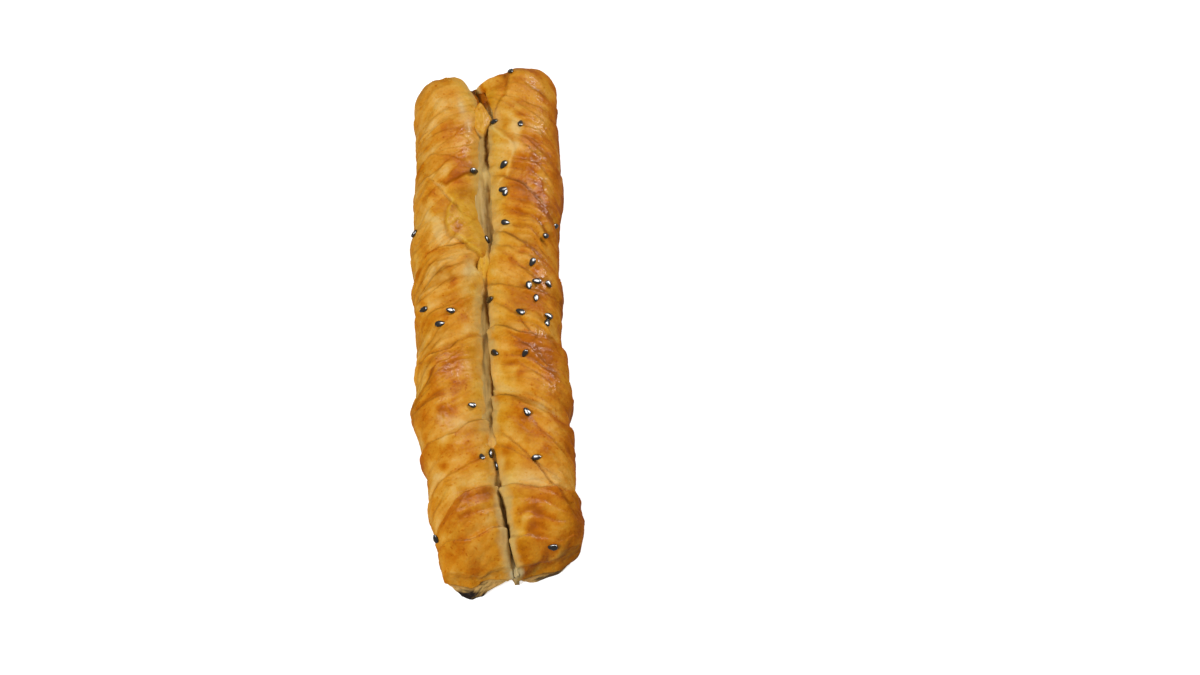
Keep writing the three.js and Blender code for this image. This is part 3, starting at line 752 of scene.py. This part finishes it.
def bakeMarks(roll, y, angle, points, marks):
    y, round_ = np.broadcast_arrays(y, turned(angle))
    right = roll["side"] > 0
    onSide = marks["onSide"]
    strength, varies, size = bakeForm["uneven"]
    uneven = np.clip(strength + varies * noise(points, size, roll["start"] + 24), 0, 1.4)
    bake = bakeForm["plain"][right] + marks["tintAndShading"]
    bake = bake + bakeForm["toast"][right] * uneven * spots(roll["toast"], y, round_)
    bake = bake + layeredNoise(points, bakeForm["patches"], roll["start"] + 16)
    # baking and painted shade down the outer side
    bake = bake + roll["sideToastAndShade"] * (1 - smooth(*bakeForm["sideTurn"], round_)) * onSide
    bake = bake - bakeForm["seam"][right] * smooth(*bakeForm["seamTurn"], round_) * onSide
    bake = bake + ramp(bakeForm["cuff"], y)
    begins, ends = bakeForm["underTurn"]
    under = np.clip(smooth(*begins, round_) + (1 - smooth(*ends, round_)), 0, 1)
    under = under * np.maximum(onSide, smooth(2, 0, points[..., 2]))
    bake = bake + (bakeForm["under"] - bake) * under
    gap = roll["side"] * (points[..., 0] - seamAt(points[..., 1]))
    ragged = layeredNoise(points, bakeForm["ragged"], roll["start"] + 18)
    first, last = bakeForm["inSeam"]
    inSeam = (round_ > first) * (round_ < last)
    wider, opened, run = bakeForm["paleMore"]
    paleWidth = bakeForm["paleWidth"][right] + wider * bell(y - opened, run)
    raw = 1 - smooth(0.2, paleWidth, gap + ragged)
    raw = raw * (1 - smooth(*bakeForm["lapCover"], lapAt(y))) * inSeam
    raw = raw * (1 - np.clip(marks["butter"], 0, 1) * ramp(bakeForm["flapCover"], round_))
    pale, varies, size = bakeForm["lipPale"]
    raw = np.maximum(raw, marks["lip"] * (pale + varies * noise(points, size, roll["start"] + 20)))
    wall = (1 - smooth(*bakeForm["wallAlong"], y)) * (1 - smooth(*bakeForm["wall"], gap + ragged)) * inSeam
    flour = spots(roll["flour"], y, round_) + bakeForm["wallFlour"] * wall * (not right)
    flour = flour + bakeForm["lipFlour"] * marks["lip"] * (y < 0)
    *middle, reach, pale = bakeForm["flourPatch"]
    away = np.linalg.norm(points - np.array(middle), axis=-1)
    flour = flour + pale * (1 - smooth(0.5 * reach, reach, away))
    # painted shade deeper down the seam
    cleftShade = ramp(bakeForm["cleftShade"], points[..., 2]) * (1 - smooth(*bakeForm["cleftGap"], gap)) * inSeam
    butter = ramp(bakeForm["butter"], round_) * inSeam + marks["butter"]
    butter = (butter + swing(points, bakeForm["butterPatch"], roll["start"] + 26)) * marks["flat"]
    char = burnMarks(points)
    return {
        "bake": bake,
        "raw": np.clip(raw, 0, 1),
        "flour": np.clip(flour * (0.8 + ragged / 4), 0, 1),
        "line": np.maximum(marks["line"], cleftShade),
        "char": char,
        "glaze": np.maximum(marks["glaze"], bakeForm["burnGlaze"] * char),
        "butter": np.clip(butter, 0, 1),
    }


def burnMarks(points):
    ragged = layeredNoise(points, bakeForm["burnRagged"], 51)
    char = 0
    for x, y, across, run, height, black in bakeForm["burns"]:
        spread = np.hypot((points[..., 0] - x) / across, (points[..., 1] - y) / run)
        spread = np.hypot(spread, points[..., 2] / height) + ragged
        char = char + black * (1 - smooth(0.7, 1.15, spread))
    return np.clip(char, 0, 1)


# Closed skins from rings of points

def placed(points):
    return (points + frameShift) * millimetre


def newPiece(name, points, faces, material):
    mesh = bpy.data.meshes.new(name)
    mesh.from_pydata(points, [], faces)
    mesh.polygons.foreach_set("use_smooth", [True] * len(mesh.polygons))
    mesh.materials.append(material)
    mesh.update()
    piece = bpy.data.objects.new(name, mesh)
    bpy.context.collection.objects.link(piece)
    return piece


def skinMesh(name, rings, marks, flip, material):
    # quads between the rings and a fan over each end
    rows, count, _ = rings.shape
    points = np.concatenate([rings.reshape(-1, 3), rings[:1].mean(1), rings[-1:].mean(1)])
    ring = np.arange(count)
    after = np.roll(ring, -1)
    low = count * np.arange(rows - 1)[:, None]
    quads = np.stack([low + ring, low + after, low + count + after, low + count + ring], -1).reshape(-1, 4)
    top = count * (rows - 1)
    near = np.stack([after, ring, np.full(count, rows * count)], -1)
    far = np.stack([top + ring, top + after, np.full(count, rows * count + 1)], -1)
    turn = -1 if flip else 1
    faces = [list(face[::turn]) for part in (quads, near, far) for face in part.tolist()]
    piece = newPiece(name, placed(points).tolist(), faces, material)
    for key, values in marks.items():
        ends = [values[0].mean(), values[-1].mean()]
        attribute = piece.data.attributes.new(key, "FLOAT", "POINT")
        attribute.data.foreach_set("value", np.append(values.ravel(), ends))
    return piece


def endRings(roll, outward, angles):
    # a quarter-round rim, then the face of the end
    tip = roll["near"] if outward < 0 else roll["far"]
    round_ = rollForm["nearRound"] if outward < 0 else rollForm["farRound"]
    turns = np.radians(np.linspace(0, 90, rollForm["rimSteps"] + 1)[1:])
    rim = tip - outward * round_ * (1 - np.sin(turns))
    shares = rollForm["faceShares"]
    ys = np.concatenate([rim, np.full(len(shares), tip)])[:, None]
    shares = np.concatenate([np.ones(len(rim)), shares])[:, None]
    points, marks = rollSkin(roll, ys, angles, shares)
    return points, bakeMarks(roll, ys, angles, points, marks)


def rollRings(roll):
    shown, hidden = rollForm["columns"]
    first, last = rollForm["visibleTurn"]
    angles = np.concatenate([
        np.linspace(first, last, shown, endpoint=False),
        np.linspace(last, first + 360, hidden, endpoint=False),
    ])
    start = roll["near"] + rollForm["nearRound"]
    end = roll["far"] - rollForm["farRound"]
    ys = np.linspace(start, end, int((end - start) / rollForm["stepAlong"]) + 1)[:, None]
    points, marks = rollSkin(roll, ys, angles)
    body = bakeMarks(roll, ys, angles, points, marks)
    nearPoints, nearMarks = endRings(roll, -1, angles)
    farPoints, farMarks = endRings(roll, 1, angles)
    rings = np.concatenate([nearPoints[::-1], points, farPoints])
    return rings, {key: np.concatenate([nearMarks[key][::-1], body[key], farMarks[key]]) for key in body}


def seamRings():
    # a strip of dough between the rolls: a cracked floor, a bridge and a leaf of dough, with painted shade in
    # the trench and the crack
    start = seamForm["start"]
    nearEnd, farEnd = seamForm["top"][0][0], seamForm["top"][-1][0]
    ys = np.arange(nearEnd, farEnd, seamForm["step"])[:, None]
    least, run = seamForm["narrow"]
    narrow = least + (1 - least) * smooth(nearEnd, nearEnd + run, ys)
    across = np.linspace(-1, 1, seamForm["columns"]) * seamForm["halfWidth"] * narrow
    x = seamAt(ys) + across
    top = along(seamForm["top"], ys) + 0 * across
    spot = np.stack([x, ys + 0 * x, top], -1)
    at, run = seamForm["opened"]
    opened = bell(ys - at, run)
    rise, size = seamForm["strand"]
    strands = noise(spot * np.array([1, 0.12, 1]), size, start)
    top = top - seamForm["slant"] * across * opened + rise * strands
    top = top + swing(spot, seamForm["lump"], start + 2)
    *reaches, fall = seamForm["sides"]
    reach = np.where(across < 0, *reaches)
    out = abs(across)
    top = top + seamForm["hollow"] * np.minimum(out, reach) ** 2 - fall * np.maximum(out - reach, 0)
    wander = sum(most * lineNoise(ys, size, start + 3) for most, size in seamForm["crackStrays"])
    crackGap = across - along(seamForm["crackAt"], ys) - wander
    varies, size = seamForm["crackVary"]
    crack = bell(crackGap, seamForm["crackWidth"] * (1 + varies * lineNoise(ys, size, start + 4)))
    depth = along(seamForm["crackDepth"], ys)

    first, last, widest, shift, half, height, fall = seamForm["leaf"]
    place = np.clip((ys - first) / (last - first), 0, 1)
    onLeaf = (ys > first) * (ys < last)
    stray, size = seamForm["leafStray"]
    ragged = stray * lineNoise(ys, size, start + 6)
    width = half * np.minimum(place / widest, (1 - place) / (1 - widest)) ** 0.8 + ragged
    aside = across - shift
    leaf = smooth(0.4, -0.4, np.maximum(aside, -aside / seamForm["leafLeft"]) - width) * onLeaf
    crack = crack * (1 - leaf)
    top = top - depth * crack
    at, run, slope, rise = seamForm["bridge"]
    bridge = bell(ys - at - slope * across, run)
    top = top + rise * bridge * bell(across, seamForm["bridgeHalf"])
    rise, size = seamForm["leafWrinkle"]
    ridges = abs(noise(spot * np.array([1, 0.3, 0]), size, start + 5))
    leafTop = height - fall * np.sqrt(aside ** 2 + 0.3) + rise * ridges
    leafTop = leafTop - seamForm["leafSag"] * (place - widest) ** 2
    top = np.maximum(top + (leafTop - top) * leaf, 0.5)
    sheet = np.stack([x, ys + 0 * x, top], -1)
    floor = sheet[:, [-1, 0]] * np.array([1, 1, 0]) + np.array([0, 0, 0.4])

    plain, onBridge, more = seamForm["bake"]
    bake = plain + onBridge * bridge + more * leaf + swing(spot, seamForm["bakePatch"], start + 1)
    bake = bake + ramp(seamForm["farBrown"], ys) * (1 - leaf)
    shift, longer = seamForm["yellow"]
    yellow = bell(ys - at - shift - slope * across, longer * run)
    raw = np.clip(1 - 1.2 * yellow - leaf - smooth(*seamForm["rawEnd"], ys), 0, 1)
    less, at, run = seamForm["closed"]
    raw = raw * (1 - less * bell(ys - at, run))
    plain, more = seamForm["paleStrands"]
    pale = opened * smooth(0.2, 1.0, -crackGap) * (plain + more * strands) + ramp(seamForm["paleEnd"], ys)
    # painted shade down the trench towards the crack, more between the strands
    shade = along(seamForm["shade"], ys) * (0.8 + 0.6 * smooth(0.2, 0.8, -strands))
    shade = shade * bell(crackGap, seamForm["shadeWidth"])
    dark, wide = seamForm["strandShade"]
    shade = shade + dark * opened * smooth(0.0, 0.45, -strands) * bell(crackGap + 0.6, wide)
    line = seamForm["crackShade"] * np.minimum(1, depth) * crack + shade * raw
    dark, wide = seamForm["leafRimShade"]
    line = line + dark * onLeaf * bell(aside - width - 0.2, wide)
    line = line + seamForm["leafWrinkleShade"] * leaf * smooth(0.12, 0.0, ridges)
    line = line + ramp(seamForm["farShade"], ys) * (1 - leaf)
    onLeaf, onBridge = seamForm["butter"]
    marks = {
        "bake": bake,
        "raw": raw,
        "flour": np.clip(pale, 0, 1),
        "line": np.clip(line, 0, 1),
        "char": 0 * bake,
        "glaze": seamForm["leafGlaze"] * leaf,
        "butter": onLeaf * leaf + onBridge * yellow,
    }
    under = np.zeros((len(ys), 2))
    marks = {key: np.concatenate([value + 0 * across, under], 1) for key, value in marks.items()}
    return np.concatenate([sheet, floor], 1), marks


# Black seeds
seedForm = {
    "length": 3.2,
    "width": 2.0,
    "thickness": 1.25,
    "flatness": 0.6,  # power of the section: less than 1 is flatter than round
    "sunk": 0.2,  # share of the thickness in the dough
    "spread": 0.1,  # how much the sizes differ
    "taper": 0.28,
    "probe": 0.6,  # half the distance over which the slope under a seed is taken
    "sides": 16,
    "rings": 11,
    # roll, along, angle, run, turn, count, start of the draw: a search tried many starts for each
    # sprinkle, and these are the ones whose seeds fall nearest to those in the photo
    "sprinkles": [
        (rightRoll, 95, 93, 1, 3, 1, 59993), (rightRoll, 73, 113, 2.5, 20, 2, 17478),
        (rightRoll, 43.5, 118, 12, 5, 4, 1464), (rightRoll, 29.5, 45, 3.5, 12, 2, 9381),
        (rightRoll, 10.5, 66, 5.5, 18, 4, 15303), (rightRoll, -3.5, 73, 5, 24, 4, 14172),
        (rightRoll, -9, 118, 12.5, 25, 3, 9526), (rightRoll, -51, 118, 10, 31, 3, 21758),
        (rightRoll, -87.8, 83, 1, 4, 1, 52179), (leftRoll, 40, 136, 13.5, 12, 2, 4257),
        (leftRoll, 32, 33, 1, 4, 1, 51145), (leftRoll, -3.5, 72, 4, 21, 3, 14852),
        (leftRoll, -47, 129, 10.5, 10, 3, 18419), (leftRoll, -82, 29, 1, 4, 1, 59979),
    ],
}
drawFactor, drawRange = 16807, 2147483647


def seedPlaces():
    for roll, at, angle, run, turn, count, start in seedForm["sprinkles"]:
        state = start
        for _ in range(count):
            strays = []
            for most in (run, turn, 180, seedForm["spread"]):
                state = state * drawFactor % drawRange
                strays.append(most * (2 * state / drawRange - 1))
            yield roll, at + strays[0], angle + strays[1], strays[2], 1 + strays[3]


def seedRings(roll, y, angle, heading, scale):
    step = seedForm["probe"]
    turn = math.degrees(step / halfHeight)
    ys = np.array([y, y + step, y - step, y, y])
    angles = np.array([angle, angle, angle, angle + turn, angle - turn])
    place, ahead, behind, over, back = rollSkin(roll, ys, angles)[0]
    forward = (ahead - behind) / np.linalg.norm(ahead - behind)
    up = np.cross(forward, over - back) * roll["side"]
    up = up / np.linalg.norm(up)
    right = np.cross(forward, up)
    lift = place + up * seedForm["thickness"] * scale * (0.5 - seedForm["sunk"])
    t = np.sin(np.radians(np.linspace(-86, 86, seedForm["rings"])))[:, None]
    girth = np.sqrt(1 - t ** 2) * (1 - seedForm["taper"] * t)
    round_ = np.linspace(0, 2 * math.pi, seedForm["sides"], endpoint=False)
    wide = 0.5 * seedForm["width"] * scale * girth * np.cos(round_)
    long = 0.5 * seedForm["length"] * scale * t + 0 * wide
    bulge = np.sign(np.sin(round_)) * abs(np.sin(round_)) ** seedForm["flatness"]
    high = 0.5 * seedForm["thickness"] * scale * girth ** seedForm["flatness"] * bulge
    c, s = math.cos(math.radians(heading)), math.sin(math.radians(heading))
    x, y = wide * c - long * s, wide * s + long * c
    return lift + x[..., None] * right + y[..., None] * forward + high[..., None] * up


def joinedSeeds(material):
    points, faces = [], []
    for place in seedPlaces():
        rings = seedRings(*place)
        rows, count, _ = rings.shape
        first = len(points)
        points.extend(placed(rings.reshape(-1, 3)).tolist())
        for row in range(rows - 1):
            for i in range(count):
                a, b = first + row * count + i, first + row * count + (i + 1) % count
                faces.append([a, b, b + count, a + count])
        faces.append([first + i for i in reversed(range(count))])
        faces.append([first + (rows - 1) * count + i for i in range(count)])
    return newPiece("seeds", points, faces, material)


# Materials

def linear(code):
    # linear colour of an sRGB code
    shades = [int(code[i:i + 2], 16) / 255 for i in (1, 3, 5)]
    return (*[c / 12.92 if c <= 0.04045 else ((c + 0.055) / 1.055) ** 2.4 for c in shades], 1)


def addNode(tree, kind, settings=None, links=None):
    node = tree.nodes.new(kind)
    for key, value in (settings or {}).items():
        if isinstance(key, int) or key in node.inputs:
            node.inputs[key].default_value = value
        else:
            setattr(node, key, value)
    for key, source in (links or {}).items():
        tree.links.new(source, node.inputs[key])
    return node


def newMaterial(name):
    material = bpy.data.materials.new(name)
    material.use_nodes = True
    tree = material.node_tree
    tree.nodes.clear()
    return material, tree, addNode(tree, "ShaderNodeTexCoord").outputs["Object"]


crustLook = {
    "amber": [(0.0, "#e6b96a"), (0.28, "#dfa240"), (0.5, "#d48b1e"), (0.74, "#c26c02"), (1.0, "#a85400")],
    "butter": [(0.0, "#dfb654"), (0.28, "#d6a028"), (0.5, "#cb8c10"), (0.74, "#b67204"), (1.0, "#965802")],
    "raw": "#ccab64",
    "flour": "#e0cc9a",
    # dark brown for painted shade: below fold and flap edges, in creases, pits, the seam and its crack
    "line": "#80500f",
    "char": "#1e120c",
    "patterns": {  # size in millimetres, detail
        "film": (5.5, 3), "mottle": (2.6, 4), "fleck": (0.8, 3),
        "grain": (0.5, 2), "pucker": (1.6, 3), "speck": (1.1, 1),
    },
    "blends": {"mottle": 0.35, "fleck": 0.3},  # how much browner or paler
    "spots": {"film": (0.53, 0.57, 0.09), "speck": (0.65, 0.75, 0.24)},  # from, to, how much browner
    "bumps": {"pucker": (0.7, 0.4), "grain": (0.5, 0.14)},  # strength, height in millimetres
    "glaze": {"Roughness": (0.6, 0.32), "Coat Weight": (0.04, 0.85)},  # plain crust, and where it pooled
    "shine": {"IOR": 1.45, "Specular IOR Level": 0.1, "Coat Roughness": 0.18, "Coat IOR": 1.45},
    "glow": {  # light that passes through the thin dough
        "Subsurface Weight": 0.05, "Subsurface Radius": (1.0, 0.45, 0.15), "Subsurface Scale": 1.0 * millimetre,
    },
}


def glazedDough():
    # egg-washed thin dough, oven baked: a satin skin, amber to brown, with fine puckers and toasted flecks
    material, tree, place = newMaterial("glazedBakedDough")
    marks = {
        key: addNode(tree, "ShaderNodeAttribute", {"attribute_name": key}).outputs["Fac"]
        for key in ("bake", "butter", "raw", "flour", "line", "char", "glaze")
    }
    patterns = {}
    for key, (size, detail) in crustLook["patterns"].items():
        pattern = addNode(tree, "ShaderNodeTexNoise", {"Scale": 1 / (size * millimetre), "Detail": detail},
                          {"Vector": place})
        patterns[key] = pattern.outputs["Fac"]
    shifts = []
    for key, amount in crustLook["blends"].items():
        shift = addNode(tree, "ShaderNodeMath", {"operation": "MULTIPLY_ADD", 1: amount, 2: -amount / 2},
                        {0: patterns[key]})
        shifts.append(shift.outputs[0])
    for key, (low, high, browner) in crustLook["spots"].items():
        shift = addNode(tree, "ShaderNodeMapRange", {"From Min": low, "From Max": high, "To Max": browner},
                        {"Value": patterns[key]})
        shifts.append(shift.outputs["Result"])
    tone = marks["bake"]
    for shift in shifts:
        tone = addNode(tree, "ShaderNodeMath", {"operation": "ADD"}, {0: tone, 1: shift}).outputs[0]
    tones = []
    for key in ("amber", "butter"):
        scale = addNode(tree, "ShaderNodeValToRGB", None, {"Fac": tone})
        stops = scale.color_ramp.elements
        while len(stops) < len(crustLook[key]):
            stops.new(0.5)
        for stop, (position, code) in zip(stops, crustLook[key]):
            stop.position, stop.color = position, linear(code)
        tones.append(scale.outputs["Color"])
    mix = addNode(tree, "ShaderNodeMix", {"data_type": "RGBA"}, {0: marks["butter"], 6: tones[0], 7: tones[1]})
    colour = mix.outputs[2]
    # raw dough, flour, the painted shade of the line mark and char laid over the tone
    for key in ("raw", "flour", "line", "char"):
        mix = addNode(tree, "ShaderNodeMix", {"data_type": "RGBA", 7: linear(crustLook[key])},
                      {0: marks[key], 6: colour})
        colour = mix.outputs[2]
    links = {}
    for key, (strength, height) in crustLook["bumps"].items():
        links["Height"] = patterns[key]
        bump = addNode(tree, "ShaderNodeBump", {"Strength": strength, "Distance": height * millimetre}, links)
        links["Normal"] = bump.outputs["Normal"]
    links = {"Base Color": colour, "Normal": links["Normal"], "Coat Normal": links["Normal"]}
    for key, (plain, pooled) in crustLook["glaze"].items():
        glaze = addNode(tree, "ShaderNodeMapRange", {"To Min": plain, "To Max": pooled},
                        {"Value": marks["glaze"]})
        links[key] = glaze.outputs["Result"]
    shader = addNode(tree, "ShaderNodeBsdfPrincipled", {**crustLook["shine"], **crustLook["glow"]}, links)
    addNode(tree, "ShaderNodeOutputMaterial", None, {"Surface": shader.outputs["BSDF"]})
    return material


seedLook = {
    "skin": "#090807",
    "worn": "#1c1713",
    "pit": 0.35,  # size in millimetres
    "bump": (0.35, 0.05),  # strength, height in millimetres
    "shine": {"Roughness": 0.24, "IOR": 1.5, "Coat Weight": 0.8, "Coat Roughness": 0.14, "Coat IOR": 1.6},
}


def glazedSeed():
    # unhulled black sesame, wet with glaze: near black, finely pitted, with a hard white shine on its flat side
    material, tree, place = newMaterial("glazedBlackSesame")
    pits = addNode(tree, "ShaderNodeTexNoise", {"Scale": 1 / (seedLook["pit"] * millimetre), "Detail": 3},
                   {"Vector": place}).outputs["Fac"]
    skin, worn = linear(seedLook["skin"]), linear(seedLook["worn"])
    mix = addNode(tree, "ShaderNodeMix", {"data_type": "RGBA", 6: skin, 7: worn}, {0: pits})
    strength, height = seedLook["bump"]
    bump = addNode(tree, "ShaderNodeBump", {"Strength": strength, "Distance": height * millimetre},
                   {"Height": pits})
    shader = addNode(tree, "ShaderNodeBsdfPrincipled", seedLook["shine"],
                     {"Base Color": mix.outputs[2], "Normal": bump.outputs["Normal"]})
    addNode(tree, "ShaderNodeOutputMaterial", None, {"Surface": shader.outputs["BSDF"]})
    return material


floorLook = {
    "dull": "#f4f4f2",
    "light": "#f8f8f7",
    "grain": 3.0,  # size in millimetres
    "glow": "#ffffff",
    "shine": {"Roughness": 0.8, "Emission Strength": 0.65},
}


def whiteBoard():
    # matt white card, bright and even
    material, tree, place = newMaterial("mattWhiteBoard")
    grain = addNode(tree, "ShaderNodeTexNoise", {"Scale": 1 / (floorLook["grain"] * millimetre), "Detail": 2},
                    {"Vector": place}).outputs["Fac"]
    dull, light, glow = (linear(floorLook[key]) for key in ("dull", "light", "glow"))
    mix = addNode(tree, "ShaderNodeMix", {"data_type": "RGBA", 6: dull, 7: light}, {0: grain})
    shader = addNode(tree, "ShaderNodeBsdfPrincipled", {**floorLook["shine"], "Emission Color": glow},
                     {"Base Color": mix.outputs[2]})
    addNode(tree, "ShaderNodeOutputMaterial", None, {"Surface": shader.outputs["BSDF"]})
    return material


# Making the pieces
rolls = {"leftRoll": leftRoll, "rightRoll": rightRoll}
made = {name: rollRings(roll) for name, roll in rolls.items()}
cadLow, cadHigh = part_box("pastry")
frameShift = (np.array(cadLow) + np.array(cadHigh)) / 2 / millimetre - rollForm["middle"]
frameShift[2] = 0
print("rolls shaped, shift", frameShift.round(3))

crust = glazedDough()
crustPieces = [skinMesh(name, *made[name], rolls[name]["side"] > 0, crust) for name in rolls]
print("rolls made")
crustPieces.append(skinMesh("seamDough", *seamRings(), False, crust))
print("seam made")
for piece in crustPieces:
    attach(piece, "root")
    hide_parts("pastry")

seeds = joinedSeeds(glazedSeed())
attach(seeds, "root")
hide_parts("pastry")
print("seeds made")

# Studio
studio = {
    "floorSize": 6.0,
    "world": "#ffffff",
    "worldStrengths": (0.28, 1.0),  # as light, and as the white behind the pastry
    # direction from the pastry, distance and size in metres, power in watts, whether it lights the
    # colour and shows as shine, and what it falls on
    "lights": [
        ("keyLight", (-0.63, -0.48, 0.61), 2.0, 0.6, 26.5, True, False, None),
        ("streakLight", (0.64, 0.44, 0.64), 1.2, 0.35, 7.4, True, True, None),
        ("sheenLight", (0.05, 0.44, 0.9), 1.5, 1.2, 14.0, False, True, "crust"),
        ("glintLight", (0.1, 0.17, 0.97), 1.2, 0.8, 26.0, False, True, "seeds"),
        ("sideGlint", (0.86, 0.36, 0.38), 1.2, 0.7, 19.0, False, True, "seeds"),
    ],
}

half = studio["floorSize"] / 2
corners = [(-half, -half, 0), (half, -half, 0), (half, half, 0), (-half, half, 0)]
floor = newPiece("floor", corners, [(0, 1, 2, 3)], whiteBoard())
floor.visible_diffuse = floor.visible_glossy = False  # no white glow from below on the crust

groups = {None: None}
for name, pieces in (("crust", crustPieces), ("seeds", [seeds])):
    groups[name] = bpy.data.collections.new(name)
    for piece in pieces:
        groups[name].objects.link(piece)
for name, direction, distance, size, power, lights, shines, target in studio["lights"]:
    light = bpy.data.lights.new(name, "AREA")
    light.shape, light.size, light.energy = "DISK", size, power
    lamp = bpy.data.objects.new(name, light)
    lamp.visible_diffuse, lamp.visible_glossy = lights, shines
    lamp.light_linking.receiver_collection = groups[target]
    lamp.location = Vector(direction).normalized() * distance
    lamp.rotation_euler = (-lamp.location).to_track_quat("-Z", "Y").to_euler()
    bpy.context.collection.objects.link(lamp)

world = bpy.data.worlds.new("studioWorld")
world.use_nodes = True
tree = world.node_tree
tree.nodes.clear()
links = {0: addNode(tree, "ShaderNodeLightPath").outputs["Is Camera Ray"]}
for key, strength in enumerate(studio["worldStrengths"], 1):
    settings = {"Color": linear(studio["world"]), "Strength": strength}
    links[key] = addNode(tree, "ShaderNodeBackground", settings).outputs[0]
mixed = addNode(tree, "ShaderNodeMixShader", None, links)
addNode(tree, "ShaderNodeOutputWorld", None, {"Surface": mixed.outputs[0]})
bpy.context.scene.world = world
bpy.context.scene.view_settings.view_transform = "Standard"
print("studio lit")

# Camera
cameraForm = {
    "azimuth": -3.3,
    "elevation": 64.0,
    "distance": 900.0,
    "lens": 76.95,
    "sensor": 36.0,
    "target": (37.4, -4.2, 0.0),
}

turn, tilt = math.radians(cameraForm["azimuth"]), math.radians(cameraForm["elevation"])
back = Vector((math.sin(turn) * math.cos(tilt), -math.cos(turn) * math.cos(tilt), math.sin(tilt)))
camera = bpy.data.cameras.new("camera")
camera.lens, camera.sensor_width = cameraForm["lens"], cameraForm["sensor"]
viewer = bpy.data.objects.new("camera", camera)
viewer.location = (Vector(cameraForm["target"]) + back * cameraForm["distance"]) * millimetre
viewer.rotation_euler = (-back).to_track_quat("-Z", "Y").to_euler()
bpy.context.collection.objects.link(viewer)
bpy.context.scene.camera = viewer
print("camera set")
